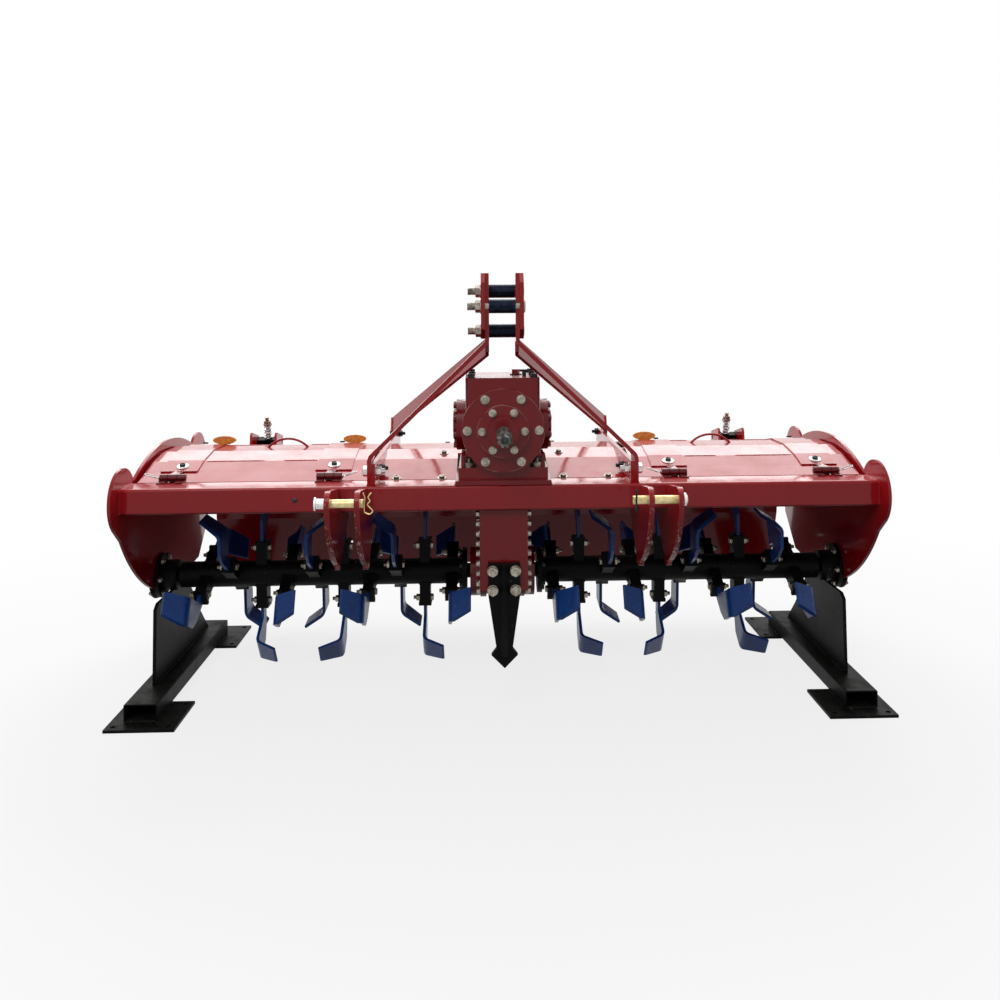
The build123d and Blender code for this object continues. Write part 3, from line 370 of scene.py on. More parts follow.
# X and Z of the small drain holes in the trailing board.
board_holes = [(-752, 283), (-531, 284), (-286, 282), (480, 284), (592, 283), (886, 284)]
crimson = (colour(168, 9, 22), colour(196, 14, 29))
cast_crimson = (colour(132, 7, 18), colour(154, 12, 26))
finishes = {
    "red_paint": enamel("red_paint", *crimson),
    "cast_red": enamel("cast_red", *cast_crimson, grain=0.8),
    "rim_red": enamel("rim_red", *cast_crimson, grain=0.5, wear=worn_rims),
    "ear_red": enamel("ear_red", *crimson, wear=worn_noses),
    "hinge_red": enamel("hinge_red", colour(96, 8, 18), colour(120, 12, 24), grain=0.4),
    "board_red": enamel("board_red", *crimson, holes=board_holes),
    "black_paint": satin_black("black_paint", colour(11, 12, 13), colour(74, 68, 60), 0.22),
    "stand_black": satin_black("stand_black", colour(11, 12, 11), colour(84, 78, 68), 0.26),
    "spacer_black": metal("spacer_black", colour(30, 36, 50), colour(16, 18, 26), 0.3),
    "blue_paint": tine_blue(),
    "zinc_yellow": metal("zinc_yellow", colour(226, 212, 166), colour(178, 158, 104), 0.26),
    "clip_gold": metal("clip_gold", colour(244, 226, 176), colour(206, 178, 112), 0.3),
    "bright_steel": metal("bright_steel", colour(206, 206, 204), colour(146, 146, 146), 0.28),
    "bolt_steel": metal("bolt_steel", colour(178, 172, 160), colour(108, 102, 92), 0.34),
    "white_zinc": metal("white_zinc", colour(238, 238, 236), colour(188, 188, 188), 0.3),
    "dark_steel": metal("dark_steel", colour(66, 66, 68), colour(34, 34, 36), 0.42),
    "spline_steel": metal("spline_steel", colour(172, 170, 160), colour(96, 96, 90), 0.3, 0.9),
    "amber_lens": amber(),
}
# The CAD nodes whose finish is a closer one than their slot's.
node_finishes = {
    "gearbox_housing": "cast_red",
    "gearbox_cover": "cast_red",
    "side_caps": "cast_red",
    "drop_case": "cast_red",
    "input_flange": "rim_red",
    "hitch_ears": "ear_red",
    "trailing_board": "board_red",
    "mast_spacers": "spacer_black",
    "stand_feet": "stand_black",
    "stand_rails": "stand_black",
    "stand_uprights": "stand_black",
    "input_shaft": "spline_steel",
}
for part in frame["record"]["subparts"]:
    node = part["node"]
    mesh = frame["nodes"][node].data
    mesh.materials.clear()
    mesh.materials.append(finishes[node_finishes.get(node, part["material_slot"])])


# ---------------------------------------------------------------- shapes
# A shape is a pair: its points, and its faces as rows of point numbers.

thread_pitch = 2.5
thread_depth = 1.1
sharp_angle = math.radians(35)
left = (-1.0, 0.0, 0.0)
right = (1.0, 0.0, 0.0)
forward = (0.0, -1.0, 0.0)
upward = (0.0, 0.0, 1.0)


def spot(x, back, z):
    """A place in metres from millimetres across, behind the beam's front face and up."""
    return np.array((x, beam_front + back, z)) / 1000


def around(sides):
    """Angles set evenly round a circle."""
    return np.arange(sides) * 2 * math.pi / sides


def skin(rings):
    """A closed surface over a grid of points: rings[i, j] is joined to its four neighbours.

    The rings close on themselves, and the first and last one are each closed by a pole at the
    middle of the ring.
    """
    count, sides = rings.shape[:2]
    points = np.concatenate((rings.reshape(-1, 3), rings[[0, -1]].mean(axis=1)))
    here = np.arange(count * sides).reshape(count, sides)
    beside = np.roll(here, -1, axis=1)
    walls = np.stack((here[:-1], beside[:-1], beside[1:], here[1:]), axis=-1).reshape(-1, 4)
    low = np.stack((np.full(sides, count * sides), beside[0], here[0]), axis=-1)
    high = np.stack((np.full(sides, count * sides + 1), here[-1], beside[-1]), axis=-1)
    return points, walls.tolist() + low.tolist() + high.tolist()


def ringed(reach, height):
    """A closed surface about Z: X and Y are the reach times the angle's cosine and sine.

    The reach has a row for each ring and a column for each angle. The height has as many, or
    one for each row.
    """
    angle = around(reach.shape[1])
    z = np.broadcast_to(height, reach.shape)
    return skin(np.stack((reach * np.cos(angle), reach * np.sin(angle), z), axis=-1))


def turned(profile, sides=24):
    """Rows of (height, radius) in millimetres turned about Z."""
    height, radius = np.array(profile, float).T / 1000
    return ringed(np.broadcast_to(radius[:, None], (len(radius), sides)), height[:, None])


def hexagon(across, height, foot=0.0, sides=24):
    """A bolt head or nut about Z: a hexagonal wall whose top corners are cut by a cone.

    The wall's radius at an angle is half the width over the cosine of the angle to the nearest
    flat's middle. The wall's top is lower by the cone's slope times what the corner stands out
    past the round face, which is dished in its middle.
    """
    flat = math.pi / 3
    half = across / 2000
    wall = half / np.cos((around(sides) + flat / 2) % flat - flat / 2)
    face = half * 0.9
    top = (foot + height) / 1000
    cone_slope = 0.5
    dish = 0.0012
    rows = (
        (wall, foot / 1000),
        (wall, top - (wall - face) * cone_slope),
        (face, top),
        (half * 0.66, top),
        (half * 0.58, top - dish),
    )
    reach = np.array([np.broadcast_to(radius, sides) for radius, _ in rows])
    rise = np.array([np.broadcast_to(z, sides) for _, z in rows])
    return ringed(reach, rise)


def thread(radius, start, end, sides=12):
    """A threaded rod about Z: the radius falls and rises once a pitch, in step with the angle."""
    rows = max(int((end - start) / thread_pitch * 4), 4)
    height = np.linspace(start, end, rows)[:, None]
    phase = (height / thread_pitch - around(sides) / (2 * math.pi)) % 1
    return ringed((radius - thread_depth * np.abs(2 * phase - 1)) / 1000, height / 1000)


def carried(path, radius, upright, sides=8):
    """A round section carried along a path of points in metres, square to the path everywhere.

    The section's first axis is upright crossed with the path's direction, and its second is
    square to both. The radius may be one for each point.
    """
    along = np.gradient(path, axis=0)
    along /= np.linalg.norm(along, axis=1)[:, None]
    first = np.cross(np.broadcast_to(np.array(upright, float), along.shape), along)
    first /= np.linalg.norm(first, axis=1)[:, None]
    second = np.cross(along, first)
    angle = around(sides)[:, None]
    section = first[:, None] * np.cos(angle) + second[:, None] * np.sin(angle)
    reach = np.broadcast_to(np.asarray(radius, float), (len(path),))[:, None, None]
    return skin(path[:, None] + reach * section)


def eased(points, rounds=9):
    """A wire's path: points set evenly along the corners, then rounded.

    Each round puts every point at the average of itself, twice, and its two neighbours.
    """
    corners = np.array(points, float)
    runs = np.linalg.norm(np.diff(corners, axis=0), axis=1)
    along = np.concatenate(((0.0,), np.cumsum(runs)))
    even = np.linspace(0, along[-1], 8 * len(points))
    path = np.stack([np.interp(even, along, corners[:, axis]) for axis in range(3)], axis=-1)
    for _ in range(rounds):
        path[1:-1] = (path[:-2] + 2 * path[1:-1] + path[2:]) / 4
    return path


def joined(*shapes):
    """Several shapes as one."""
    points = []
    faces = []
    start = 0
    for shape_points, shape_faces in shapes:
        points.append(shape_points)
        faces += [[number + start for number in face] for face in shape_faces]
        start += len(shape_points)
    return np.concatenate(points), faces


def both_sides(made):
    """What made(side) gives for the left side, -1, and for the right side, 1, as one shape."""
    return joined(made(-1), made(1))


def repeated(shape, places, axes):
    """The shape set at each place with its Z along that place's axis.

    Each copy's points are the shape's X, Y and Z times three square directions: two across the
    axis and the axis itself, all copies at once.
    """
    points, faces = shape
    places = np.array(places, float).reshape(-1, 3)
    up = np.broadcast_to(np.array(axes, float), places.shape)
    up = up / np.linalg.norm(up, axis=1)[:, None]
    level = np.where(np.abs(up[:, 2:3]) < 0.9, (0.0, 0.0, 1.0), (0.0, 1.0, 0.0))
    across = np.cross(level, up)
    across /= np.linalg.norm(across, axis=1)[:, None]
    turn = np.stack((across, np.cross(up, across), up), axis=1)
    copies = np.einsum("pa,kab->kpb", points, turn) + places[:, None]
    return joined(*[(copy, faces) for copy in copies])


def ring_places(radius, count, start, middle, axis):
    """Places evenly round a circle about a middle in millimetres, square to axis "x" or "y"."""
    angle = math.radians(start) + around(count)
    first = radius * np.cos(angle)
    second = radius * np.sin(angle)
    still = np.zeros(count)
    offsets = (still, first, second) if axis == "x" else (first, still, second)
    return spot(*middle) + np.stack(offsets, axis=-1) / 1000


def washer(radius, thickness):
    """A flat washer about Z with a small round on its rim."""
    face = radius - 0.4
    return turned(((0, face), (0.4, radius), (thickness - 0.4, radius), (thickness, face)))


def bolt(across, height, washer_radius, washer_thickness=2.0):
    """A bolt head on its washer."""
    seat = washer(washer_radius, washer_thickness)
    return joined(seat, hexagon(across, height, washer_thickness))


def nut(across, height, rod_radius, overhang, washer_radius=0.0):
    """A nut on the threaded end of its bolt, with a washer where it has one."""
    foot = 2.0 if washer_radius else 0.0
    parts = [hexagon(across, height, foot), thread(rod_radius, foot, foot + height + overhang)]
    if washer_radius:
        parts.append(washer(washer_radius, foot))
    return joined(*parts)


def bar(corners, start_x, end_x):
    """A straight bar across the machine: its side view's corners carried from one X to another."""
    return skin(np.array([[spot(x, *corner) for corner in corners] for x in (start_x, end_x)]))


def piece(name, shape, body, finish):
    """Makes one object of a shape, smooth but for its sharp edges."""
    points, faces = shape
    mesh = bpy.data.meshes.new(name)
    mesh.from_pydata(points.tolist(), [], faces)
    mesh.materials.append(finishes[finish])
    mesh.shade_smooth()
    mesh.set_sharp_from_angle(angle=sharp_angle)
    made = bpy.data.objects.new(name, mesh)
    bpy.context.scene.collection.objects.link(made)
    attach(made, body)
    return made


# ---------------------------------------------------------------- gearbox

flange_middle = (0, -4, input_height)
cap_middle = (0, -24, input_height)
piece(
    "gearbox_flange_bolts",
    joined(
        repeated(bolt(20, 9, 12.5), ring_places(97, 6, 0, flange_middle, "y"), forward),
        repeated(bolt(18, 9, 11), ring_places(57, 6, 0, cap_middle, "y"), forward),
    ),
    "frame",
    "bolt_steel",
)


def side_cap_middle(side):
    """The middle of a side cap's outer face."""
    return (side * 129, 150, input_height)


def side_cap_ring(side):
    """The small bolts round a side cap."""
    places = ring_places(60, 8, 22.5, side_cap_middle(side), "x")
    return repeated(bolt(14, 7, 9), places, (side, 0, 0))


def side_cap_boss(side):
    """The dished boss inside a side cap's ring of bolts."""
    boss = turned(((0, 44), (7, 44), (10, 40), (10, 22), (6, 18), (6, 0.5)), 40)
    return repeated(boss, [spot(*side_cap_middle(side))], (side, 0, 0))


piece(
    "side_cap_bolts",
    joined(both_sides(side_cap_ring), both_sides(side_cap_boss)),
    "frame",
    "cast_red",
)

pocket_floor = 680
pocket_places = [spot(x, back, pocket_floor) for x in (-93, 93) for back in (39, 251)]
piece(
    "gearbox_foot_nuts",
    repeated(nut(21, 11, 6.5, 12, 13), pocket_places, upward),
    "frame",
    "bolt_steel",
)

cover_thickness = 11
cover_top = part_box("gearbox_housing")[1].z * 1000 + cover_thickness
cover_bolts = [spot(x, back, cover_top) for back in (34, 145, 256) for x in (-86, 86)]
breather = turned(((0, 6), (12, 6), (12, 3.5), (16, 3.5)))
breather_bar = turned(((-13, 2.6), (-12, 3.4), (12, 3.4), (13, 2.6)), 12)
piece(
    "gearbox_cover_bolts",
    joined(
        repeated(bolt(17, 9, 11), cover_bolts, upward),
        repeated(breather, [spot(62, 96, cover_top)], upward),
        repeated(breather_bar, [spot(62, 96, cover_top + 15)], right),
        repeated(washer(17, 3), [spot(40, 145, cover_top)], upward),
    ),
    "frame",
    "dark_steel",
)

shaft_front = -200
centre_drilling = turned(((-2, 9), (0.4, 9), (0.4, 4.5), (-1.6, 2)), 20)
piece(
    "shaft_centre",
    repeated(centre_drilling, [spot(0, shaft_front, input_height)], forward),
    "input_shaft",
    "dark_steel",
)


# ---------------------------------------------------------------- mast and tie bars

mast_outer = 58
# One row for each mast bolt: its back and its height.
mast_rows = [(96, 1163), (14, 1120), (96, 1052)]
shank_and_head = turned(((-2 * mast_outer, 10.8), (0, 10.8), (0.2, 18), (3, 18), (5.2, 13)), 30)
mast_nuts = piece(
    "mast_nuts",
    joined(
        repeated(nut(30, 14, 10.8, 21, 20), [spot(-mast_outer, *row) for row in mast_rows], left),
        repeated(shank_and_head, [spot(mast_outer, *row) for row in mast_rows], right),
    ),
    "frame",
    "bolt_steel",
)
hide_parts("mast_bolts")

foot_outer = 369
bar_inner = 347
bar_outer = 358
foot_bolt_place = (38, 672)
# One row for each bolt through a tie bar: its back, its height and the outer face it clamps.
bar_rows = [(146, 662, bar_outer), (487, 664, bar_outer), (728, 686, foot_outer)]


def mast_foot_bolt(side):
    """The bolt through a mast foot, its head outside and its nut inside."""
    return joined(
        repeated(bolt(26, 12, 16, 2.5), [spot(side * foot_outer, *foot_bolt_place)], (side, 0, 0)),
        repeated(nut(24, 12, 8, 10, 15), [spot(side * bar_inner, *foot_bolt_place)], (-side, 0, 0)),
    )


def tie_bar_row(side):
    """The bolts along a tie bar, their heads outside and their nuts inside."""
    return joined(
        *[
            joined(
                repeated(bolt(19, 8, 12), [spot(side * outer, back, z)], (side, 0, 0)),
                repeated(nut(19, 10, 6, 9, 12), [spot(side * bar_inner, back, z)], (-side, 0, 0)),
            )
            for back, z, outer in bar_rows
        ]
    )


piece("mast_foot_bolts", both_sides(mast_foot_bolt), "frame", "white_zinc")
piece("tie_bar_bolts", both_sides(tie_bar_row), "frame", "dark_steel")


# ---------------------------------------------------------------- lower hitch

pin_place = (-132, 618)
pin_radius = 11
head_x = 458.5
# One row for each pin: the X of its headed end, its length and the way that it points.
pin_rows = [(-head_x, 98.5, 1), (head_x, 129.5, -1)]
pins = piece(
    "hitch_pin_shafts",
    joined(
        *[
            repeated(
                turned(((-12, pin_radius), (length - 2, pin_radius), (length, 9)), 32),
                [spot(x, *pin_place)],
                (way, 0, 0),
            )
            for x, length, way in pin_rows
        ]
    ),
    "frame",
    "zinc_yellow",
)
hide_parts("hitch_pins")
collared_head = turned(((0, 12), (0.5, 13), (22, 13), (22.5, 17), (26.5, 17), (27, 16)), 32)
flat_head = turned(((0, 16), (0.6, 17), (8, 17), (9, 16)), 32)
piece(
    "hitch_pin_heads",
    joined(
        repeated(collared_head, [spot(-head_x, *pin_place)], left),
        repeated(flat_head, [spot(head_x, *pin_place)], right),
    ),
    "frame",
    "white_zinc",
)
# The spring clip's wire: its distance along the pin and its height above the pin's middle.
clip_rows = [(7, 30), (-3, 18), (5, 9), (-5, 0), (12, -17)]
clip_rows += [(2, -26), (-11, -20), (-12, -3), (-9, 16), (-14, 30)]
clip_back = beam_front + pin_place[0] - 13
wire_radius = 0.0016
# One row for each clip: the X of its pin's hole, its turn about the upright and its finish.
for name, hole_x, turn, finish in (
    ("hitch_clip_left", -346, 0.0, "clip_gold"),
    ("hitch_clip_right", 338, 1.25, "dark_steel"),
):
    along, rise = np.array(clip_rows, float).T
    across = hole_x + along * math.cos(turn)
    deep = clip_back + along * math.sin(turn)
    wire = eased(np.stack((across, deep, pin_place[1] + rise), axis=-1) / 1000, 5)
    upright = (math.sin(turn), -math.cos(turn), 0)
    piece(name, carried(wire, wire_radius, upright), "frame", finish)


# ---------------------------------------------------------------- hood and covers

# The back and the height of each of the hood's folds.
hood_folds = [(112, 634), (170, 652), (235, 673), (330, 689), (450, 689), (570, 668), (662, 641)]
hood_backs, hood_heights = np.array(hood_folds, float).T


def on_hood(x, back, lift=0.0):
    """A place on the hood's sheet, raised by lift: the height follows the folded line."""
    return spot(x, back, np.interp(back, hood_backs, hood_heights) + lift)


def off_hood(back):
    """The direction square to the hood's sheet: the fold's run turned by a quarter."""
    low, high = np.interp((back - 2, back + 2), hood_backs, hood_heights)
    rise = (high - low) / 4
    return np.array((0.0, -rise, 1.0)) / math.hypot(rise, 1.0)


strap_rise = 4.1
# One row for each strap bolt: its X on the right cover and its back.
strap_rows = [(922, 196), (950, 510), (487, 196), (512, 520)]
strap_washer = joined(washer(17, 2.5), turned(((2.5, 12), (3.4, 11)), 24))
strap_bolt = hexagon(15, 6, 3.2)
# One row for each raised crease: its back and its ends' X on the right cover.
crease_rows = [(235, 541, 640), (235, 694, 868), (450, 541, 600), (450, 722, 868)]
crease_height = 0.0016
crease_steps = 24


def crease(side, back, start, end):
    """A raised crease: level along its run, with a height that falls away only at its ends."""
    path = np.tile(on_hood(0, back), (crease_steps, 1))
    path[:, 0] = side * np.linspace(start, end, crease_steps) / 1000
    from_middle = np.abs(np.linspace(-1, 1, crease_steps))
    return carried(path, crease_height * np.sqrt(np.clip(1 - from_middle ** 12, 0.05, 1)), upward)


for side, body in ((-1, "cover_left"), (1, "cover_right")):
    places = [on_hood(side * x, back, strap_rise) for x, back in strap_rows]
    axes = [off_hood(back) for _, back in strap_rows]
    washers = repeated(strap_washer, places, axes)
    piece(f"{body}_washers", washers, body, "white_zinc")
    piece(f"{body}_bolts", repeated(strap_bolt, places, axes), body, "dark_steel")
    creases = joined(*[crease(side, *row) for row in crease_rows])
    piece(f"{body}_creases", creases, body, "red_paint")

centre_rows = [(x, back) for x in (-172, 172) for back in (118, 282, 560)]
centre_rows += [(-300, 118), (300, 118)]
piece(
    "hood_centre_bolts",
    repeated(
        bolt(15, 7, 13),
        [on_hood(x, back) for x, back in centre_rows],
        [off_hood(back) for _, back in centre_rows],
    ),
    "frame",
    "bolt_steel",
)

hinge_line = (107, 648)
hinge_xs = (-921, -486, 486, 921)
knuckle_radius = 10
knuckle_end = 8.4
fixed_middle = 24.75
fixed_half = 11.25
moving_half = 13
leaf_half = 12.5
hinge_pin = turned(((-37, 4.4), (37, 4.4)))
# The corners of the beam's and the cover's hinge leaf in side view: their backs and heights.
fixed_leaf = ((74, 636.2), (74, 639.5), (108, 642.5), (112, 638), (104, 636.2))
moving_leaf = ((108, 656.8), (118, 656.5), (168, 656.4), (168, 651.6), (112, 635), (104, 641))


def barrel(start_x, end_x):
    """One hinge knuckle: a round bar with eased ends."""
    length = end_x - start_x
    ease = 0.8
    start = ((0, knuckle_end), (ease, knuckle_radius))
    end = ((length - ease, knuckle_radius), (length, knuckle_end))
    return repeated(turned(start + end), [spot(start_x, *hinge_line)], right)


def fixed_knuckle(middle):
    """A knuckle on the beam with its leaf."""
    ends = (middle - fixed_half, middle + fixed_half)
    return joined(barrel(*ends), bar(fixed_leaf, *ends))


def moving_knuckle(middle):
    """A knuckle on a cover with its leaf."""
    leaf = bar(moving_leaf, middle - leaf_half, middle + leaf_half)
    return joined(barrel(middle - moving_half, middle + moving_half), leaf)


fixed_hinges = piece(
    "cover_hinge_barrels",
    joined(
        *[fixed_knuckle(x + end * fixed_middle) for x in hinge_xs for end in (-1, 1)],
        repeated(hinge_pin, [spot(x, *hinge_line) for x in hinge_xs], right),
    ),
    "frame",
    "hinge_red",
)
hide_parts("cover_hinges")
for side, body in ((-1, "cover_left"), (1, "cover_right")):
    moving = piece(
        f"{body}_hinge_barrels",
        joined(*[moving_knuckle(side * x) for x in hinge_xs[2:]]),
        body,
        "hinge_red",
    )
    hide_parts(body.replace("cover", "cover_knuckles"))

ledge_end = 1026
ledge_corners = ((646, 628), (646, 635.6), (673, 635.6), (673, 628))
piece(
    "cover_ledge",
    bar(ledge_corners, -ledge_end, ledge_end),
    "frame",
    "red_paint",
)
# One row for each hinge: the X of the pin's end with the wire clip and the way that it points.
hinge_rows = [(-957, -1), (-450, 1), (450, -1), (957, 1)]
# The wire clip's corners: how far along the pin, behind it and above it.
loop_rows = [(0, 0, 0), (9, 0, 0), (24, -7, 6), (38, -9, 10)]
loop_rows += [(41, -2, 12), (36, 5, 11), (20, 3, 7), (10, -2, 3)]
pin_cap = turned(((-3, 6), (0, 6), (1.5, 4.5)), 20)


def hinge_wire(end_x, way):
    """The wire clip in the end of a hinge's pin, and the pin's cap."""
    back, height = hinge_line
    corners = [spot(end_x + way * x, back + y, height + z) for x, y, z in loop_rows]
    return joined(
        carried(eased(corners, 4), wire_radius, upward),
        repeated(pin_cap, [spot(end_x + way * 2, back, height)], (way, 0, 0)),
    )


wires = joined(*[hinge_wire(*row) for row in hinge_rows])
piece("hinge_wires", wires, "frame", "bright_steel")


# ---------------------------------------------------------------- depth rods' springs

rod_x = 812
# The back and the height of a rod's pin on the board and of its swivel's axis.
rod_foot = (858, 420)
rod_swivel = (790, 655)
spring_start = 12
spring_height = 50
spring_radius = 12.2
spring_wire = 2.1
spring_turns = 6.5
rod_run = np.array((0.0, rod_swivel[0] - rod_foot[0], rod_swivel[1] - rod_foot[1]), float)
rod_run /= np.linalg.norm(rod_run)


def coil(radius, wire, turns, height):
    """A compression spring about Z: a circle that rises slowly, fast and slowly again."""
    share = np.linspace(0, 1, int(turns * 20))
    angle = share * turns * 2 * math.pi
    rise = height * (share - 0.06 * np.sin(4 * math.pi * share))
    path = np.stack((radius * np.cos(angle), radius * np.sin(angle), wire + rise), axis=-1) / 1000
    return carried(path, wire / 1000, upward)


spring = coil(spring_radius, spring_wire, spring_turns, spring_height - 2 * spring_wire)
swivel_places = [spot(side * rod_x, *rod_swivel) for side in (-1, 1)]
spring_places = [place + rod_run * spring_start / 1000 for place in swivel_places]
springs = piece(
    "depth_springs",
    repeated(spring, spring_places, rod_run),
    "rod_swivels",
    "white_zinc",
)
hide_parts("rod_springs")
rod_washer = 4.2
rod_nut = joined(hexagon(22, 10, rod_washer), thread(7.2, 4, 27), washer(15.2, rod_washer))
piece(
    "depth_rod_nuts",
    repeated(
        rod_nut,
        [place + rod_run * (spring_height + 3) / 1000 for place in spring_places],
        rod_run,
    ),
    "depth_rods",
    "bolt_steel",
)


# ---------------------------------------------------------------- drop case and ripper

case_face = 66
# The back and the height of each bolt down the case's front, round its foot and up its rear.
case_rows = [(40, 551 - 27.3 * row) for row in range(8)] + [(92, 324), (142, 306), (192, 290)]
case_rows += [(252, 530), (268, 482), (284, 434), (306, 410)]


def case_flange(side):
    """The bolts round one side of the drop case."""
    places = [spot(side * case_face, *row) for row in case_rows]
    return repeated(bolt(15, 8, 10), places, (side, 0, 0))


piece("case_flange_bolts", both_sides(case_flange), "frame", "bolt_steel")
ripper_face = 6
ripper_places = [spot(x, ripper_face, z) for x in (-31, 31) for z in (349, 401)]
piece(
    "ripper_bolts",
    repeated(bolt(24, 11, 15, 2.5), ripper_places, forward),
    "frame",
    "bolt_steel",
)


# ---------------------------------------------------------------- rotor

rotor_axis = (320, 318)
stations = 10
first_station = 152
last_station = 887
station_turn = 60
station_x = first_station + np.arange(stations) * (last_station - first_station) / (stations - 1)
station_angle = np.radians((np.arange(stations) % 3 - 1) * station_turn)
# Each station has two sockets, opposite each other. An angle of nought points straight down.
socket_x = np.concatenate((station_x, station_x))
socket_angle = np.concatenate((station_angle, station_angle + math.pi))
socket_down = np.stack((0 * socket_angle, np.sin(socket_angle), -np.cos(socket_angle)), axis=-1)
socket_half = np.array((0.016, 0, 0))
bolt_radius = 0.080
seam_radius = 0.0385
seam_half_widths = (16.5, 24.5)


def socket_seam():
    """The weld round a socket that points down: a rounded oblong lying on the tube's radius.

    The oblong is a circle whose cosine and sine are raised to a quarter power, which squares it,
    and drawn out to the socket's two widths.
    """
    angle = np.linspace(0, 2 * math.pi, 41)
    circle = np.stack((np.cos(angle), np.sin(angle)), axis=-1)
    oblong = np.sign(circle) * np.abs(circle) ** 0.25 * seam_half_widths / 1000
    path = np.column_stack((oblong, np.sqrt(seam_radius ** 2 - oblong[:, 1] ** 2)))
    return carried(path, 0.003, upward, 6)


def socket_middles(side):
    """The places on the rotor's axis over one half's sockets."""
    return spot(0, *rotor_axis) + np.array((1, 0, 0)) * (side * socket_x / 1000)[:, None]


def socket_row(side):
    """A nut on the outer face and a bolt head on the inner face of each of one half's sockets."""
    seats = socket_middles(side) + socket_down * bolt_radius
    return joined(
        repeated(nut(18, 10, 6, 8, 11), seats + side * socket_half, (side, 0, 0)),
        repeated(bolt(18, 7, 11), seats - side * socket_half, (-side, 0, 0)),
    )


def seam_row(side):
    """The weld round each of one half's sockets: the seam turned about X to the socket's angle."""
    points, faces = socket_seam()
    seams = []
    for middle, angle in zip(socket_middles(side), socket_angle):
        cosine, sine = math.cos(angle), math.sin(angle)
        turn = np.array(((1, 0, 0), (0, -cosine, -sine), (0, sine, -cosine)))
        seams.append((points @ turn + middle, faces))
    return joined(*seams)


def rotor_flange(side):
    """The bolts round the flange at one tube's inner end."""
    places = ring_places(54, 6, 30, (side * 120, *rotor_axis), "x")
    return repeated(bolt(15, 7, 9.5), places, (side, 0, 0))


piece("socket_bolts", both_sides(socket_row), "rotor", "bolt_steel")
piece("socket_welds", both_sides(seam_row), "rotor", "black_paint")
piece("rotor_flange_bolts", both_sides(rotor_flange), "rotor", "dark_steel")


# ---------------------------------------------------------------- end bearings

plate_inner = 1030
plate_outer = 1038
bearing_flange = 12
bearing_ring = 55.5
cap_profile = ((0, 68), (5, 68), (6, 66.5), (6, 42), (13, 38), (14.5, 34), (14.5, 0.5))


def bearing_heads(side):
    """The bolt heads round a bearing, inside its side plate."""
    middle = (side * (plate_inner - bearing_flange), *rotor_axis)
    return repeated(bolt(14, 7, 9), ring_places(bearing_ring, 6, 0, middle, "x"), (-side, 0, 0))


def bearing_nuts(side):
    """The nuts of those bolts on the cap outside the side plate."""
    middle = (side * (plate_outer + 6), *rotor_axis)
    return repeated(nut(15, 8, 5, 5), ring_places(bearing_ring, 6, 0, middle, "x"), (side, 0, 0))


def bearing_cap(side):
    """The round cap over a bearing, outside the side plate."""
    return repeated(turned(cap_profile, 48), [spot(side * plate_outer, *rotor_axis)], (side, 0, 0))


piece(
    "bearing_bolts",
    joined(both_sides(bearing_heads), both_sides(bearing_nuts)),
    "frame",
    "bolt_steel",
)
piece("bearing_caps", both_sides(bearing_cap), "frame", "black_paint")
plug = turned(((0, 7), (1.5, 7), (3, 4.5)), 16)
piece(
    "beam_plug",
    repeated(plug, [spot(-562, 0, 602)], forward),
    "frame",
    "dark_steel",
)


# ---------------------------------------------------------------- weld beads

bead_radius = 0.0032
bead_step = 0.0017
ripple_length = 0.0052
taper_length = 0.004


def weld(start, end):
    """A weld bead along a straight seam: a round section whose radius swells once a ripple.

    A slower sine makes the ripples uneven, and a square root tapers the bead to its ends.
    """
    first = spot(*start)
    run = spot(*end) - first
    length = np.linalg.norm(run)
    share = np.linspace(0, 1, max(int(length / bead_step), 6))
    distance = share * length
    ripple = 1 + 0.16 * np.cos(distance * 2 * math.pi / ripple_length)
    ripple = ripple + 0.08 * np.sin(distance * 71)
    taper = np.sqrt(np.clip(np.minimum(share, 1 - share) * length / taper_length, 0.1, 1))
    upright = (0, 0, 1) if abs(run[2] / length) < 0.9 else (0, 1, 0)
    return carried(first + share[:, None] * run, bead_radius * ripple * taper, upright, 6)


beam_top = 636
foot_top = 8
rail_top = 54
link_x = 412.5
# One row for each weld on the right half: its start and its end as X, back and height.
frame_welds = [
    *[((link_x + reach, 0, 571), (link_x + reach, 0, 630)) for reach in (-45, -31, 31, 45)],
    ((foot_outer, 10, beam_top), (foot_outer, 66, beam_top)),
    ((bar_inner, 8, beam_top), (bar_inner, 97, beam_top)),
    ((130, 4, beam_top), (130, 97, beam_top)),
    ((plate_inner, 0, 568), (plate_inner, 0, 634)),
    ((plate_inner, 4, beam_top), (plate_inner, 97, beam_top)),
    ((plate_inner, 674, beam_top), (plate_inner, 746, beam_top)),
    ((plate_inner, 670, 560), (plate_inner, 670, 634)),
    ((plate_inner, 750, 560), (plate_inner, 750, 632)),
]
stand_welds = [
    ((986, 142, rail_top), (986, 638, rail_top)),
    ((996, 142, rail_top), (996, 638, rail_top)),
    ((938, 14, foot_top), (938, 138, foot_top)),
    ((938, 578, foot_top), (938, 698, foot_top)),
    ((1028, 14, foot_top), (1028, 138, foot_top)),
    ((1028, 578, foot_top), (1028, 698, foot_top)),
    ((940, 12, foot_top), (1026, 12, foot_top)),
]
for name, rows, finish, slot in (
    ("frame_welds", frame_welds, "red_paint", "red_paint"),
    ("stand_welds", stand_welds, "stand_black", "black_paint"),
):
    beads = [
        weld((side * start[0], *start[1:]), (side * end[0], *end[1:]))
        for side in (-1, 1)
        for start, end in rows
    ]
    piece(name, joined(*beads), "frame", finish)


# ---------------------------------------------------------------- floor, light and camera


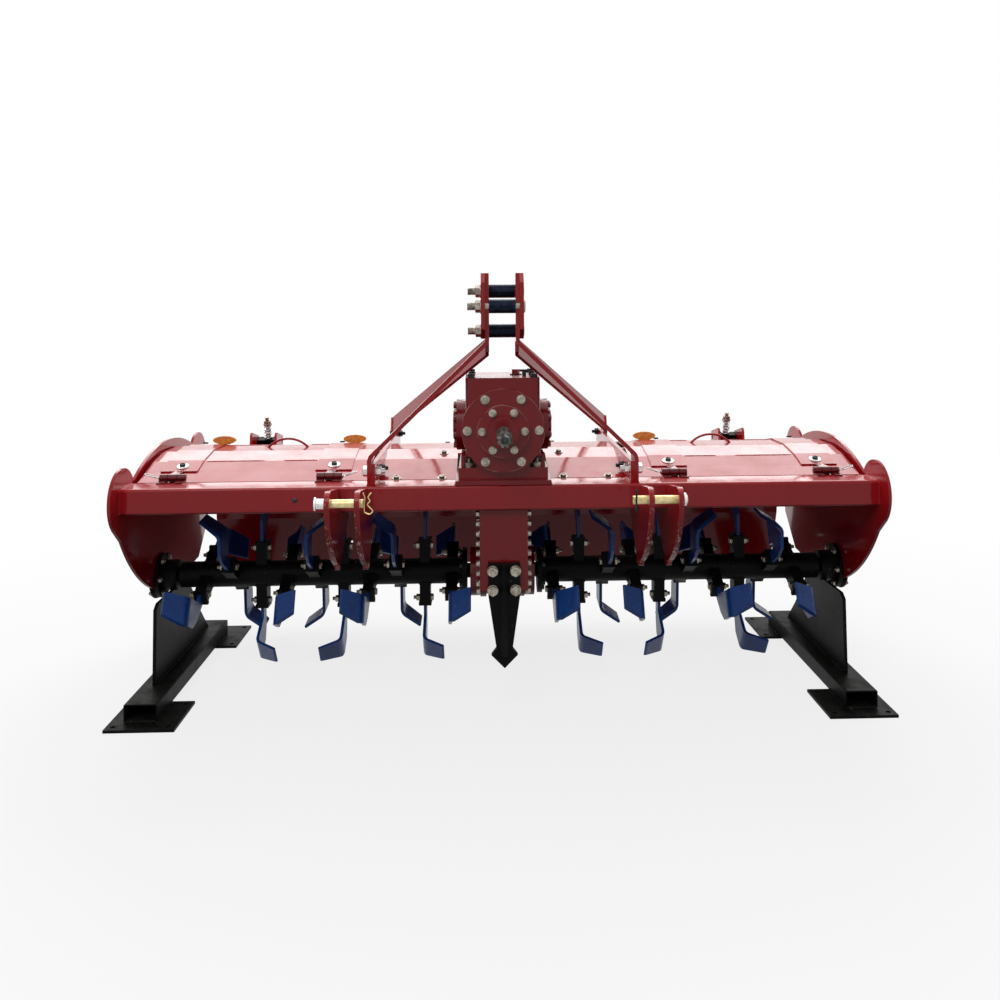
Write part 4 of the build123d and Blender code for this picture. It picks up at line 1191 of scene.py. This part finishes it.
def studio():
    """A pale floor that fades into a white surround, under a wide soft lamp.

    What the camera and mirrors see of the floor is mostly white; the rest is lit, so that it
    keeps the shadow. Soft light bounces off a darker floor.
    """
    reach = 40.0
    white = (1.0, 1.0, 1.0, 1.0)
    pale = (0.9, 0.9, 0.9, 1.0)
    dim = (0.16, 0.16, 0.16, 1.0)
    floor_mesh = bpy.data.meshes.new("floor")
    corners = [(-reach, -reach, 0), (reach, -reach, 0), (reach, reach, 0), (-reach, reach, 0)]
    floor_mesh.from_pydata(corners, [], [(0, 1, 2, 3)])
    floor = bpy.data.objects.new("floor", floor_mesh)
    bpy.context.scene.collection.objects.link(floor)
    paint = Paint("floor_white")
    seen = paint.seen()
    x, y, _ = paint.axes()
    far = ((x * x + y * y) ** 0.5).above(1.2, 2.8)
    glow = paint.node("ShaderNodeEmission", None, {"Color": white, "Strength": 1.0})
    paint.finish(
        Base_Color=paint.mixed(seen, dim, pale),
        Roughness=0.9,
        Specular_IOR_Level=0.1,
    )
    both = paint.node(
        "ShaderNodeMixShader",
        None,
        {0: seen * (0.8 + far * 0.2), 1: paint.shader.outputs[0], 2: glow.outputs[0]},
    )
    paint.feed(paint.tree.nodes["Material Output"].inputs["Surface"], both.outputs[0])
    floor_mesh.materials.append(paint.material)

    world = bpy.data.worlds.new("surround")
    world.use_nodes = True
    bpy.context.scene.world = world
    surround = Tree(world.node_tree)
    background = world.node_tree.nodes["Background"]
    surround.feed(background.inputs["Color"], white)
    surround.feed(background.inputs["Strength"], 0.18 + surround.seen() * 0.82)

    # One row for each lamp: its place, the point it faces, its width, its height and its watts.
    for name, place, target, width, height, power in (
        ("sky_lamp", (0.0, 0.4, 4.6), (0.0, 0.0, 0.5), 4.0, 4.0, 45.0),
        ("rear_sky_lamp", (0.0, 3.9, 4.0), (0.0, 0.0, 0.7), 6.5, 3.2, 230.0),
        ("horizon_lamp", (0.0, 5.4, 1.0), (0.0, 0.0, 0.7), 9.0, 1.6, 10.0),
        ("front_lamp", (-1.4, -3.9, 4.2), (0.0, 0.0, 0.6), 2.5, 2.5, 62.0),
    ):
        light = bpy.data.lights.new(name, "AREA")
        light.shape = "RECTANGLE"
        light.size = width
        light.size_y = height
        light.energy = power
        lamp = bpy.data.objects.new(name, light)
        aim = np.array(target) - np.array(place)
        lamp.location = place
        lamp.rotation_euler = (
            math.acos(-aim[2] / np.linalg.norm(aim)),
            0.0,
            math.atan2(aim[1], aim[0]) - math.pi / 2,
        )
        bpy.context.scene.collection.objects.link(lamp)


def camera():
    """A long-armed view from in front of the mast, level with the top of the hood."""
    data = bpy.data.cameras.new("view")
    data.lens = 33.27
    data.shift_x = -0.0103
    data.shift_y = -0.177
    eye = bpy.data.objects.new("view", data)
    eye.location = (-0.0517, beam_front / 1000 - 2.496, 1.099)
    eye.rotation_mode = "XYZ"
    eye.rotation_euler = (math.pi / 2 - 0.0098, 0.0070, -0.0293)
    bpy.context.scene.collection.objects.link(eye)
    bpy.context.scene.camera = eye


studio()
camera()
bpy.context.scene.view_settings.view_transform = "Standard"
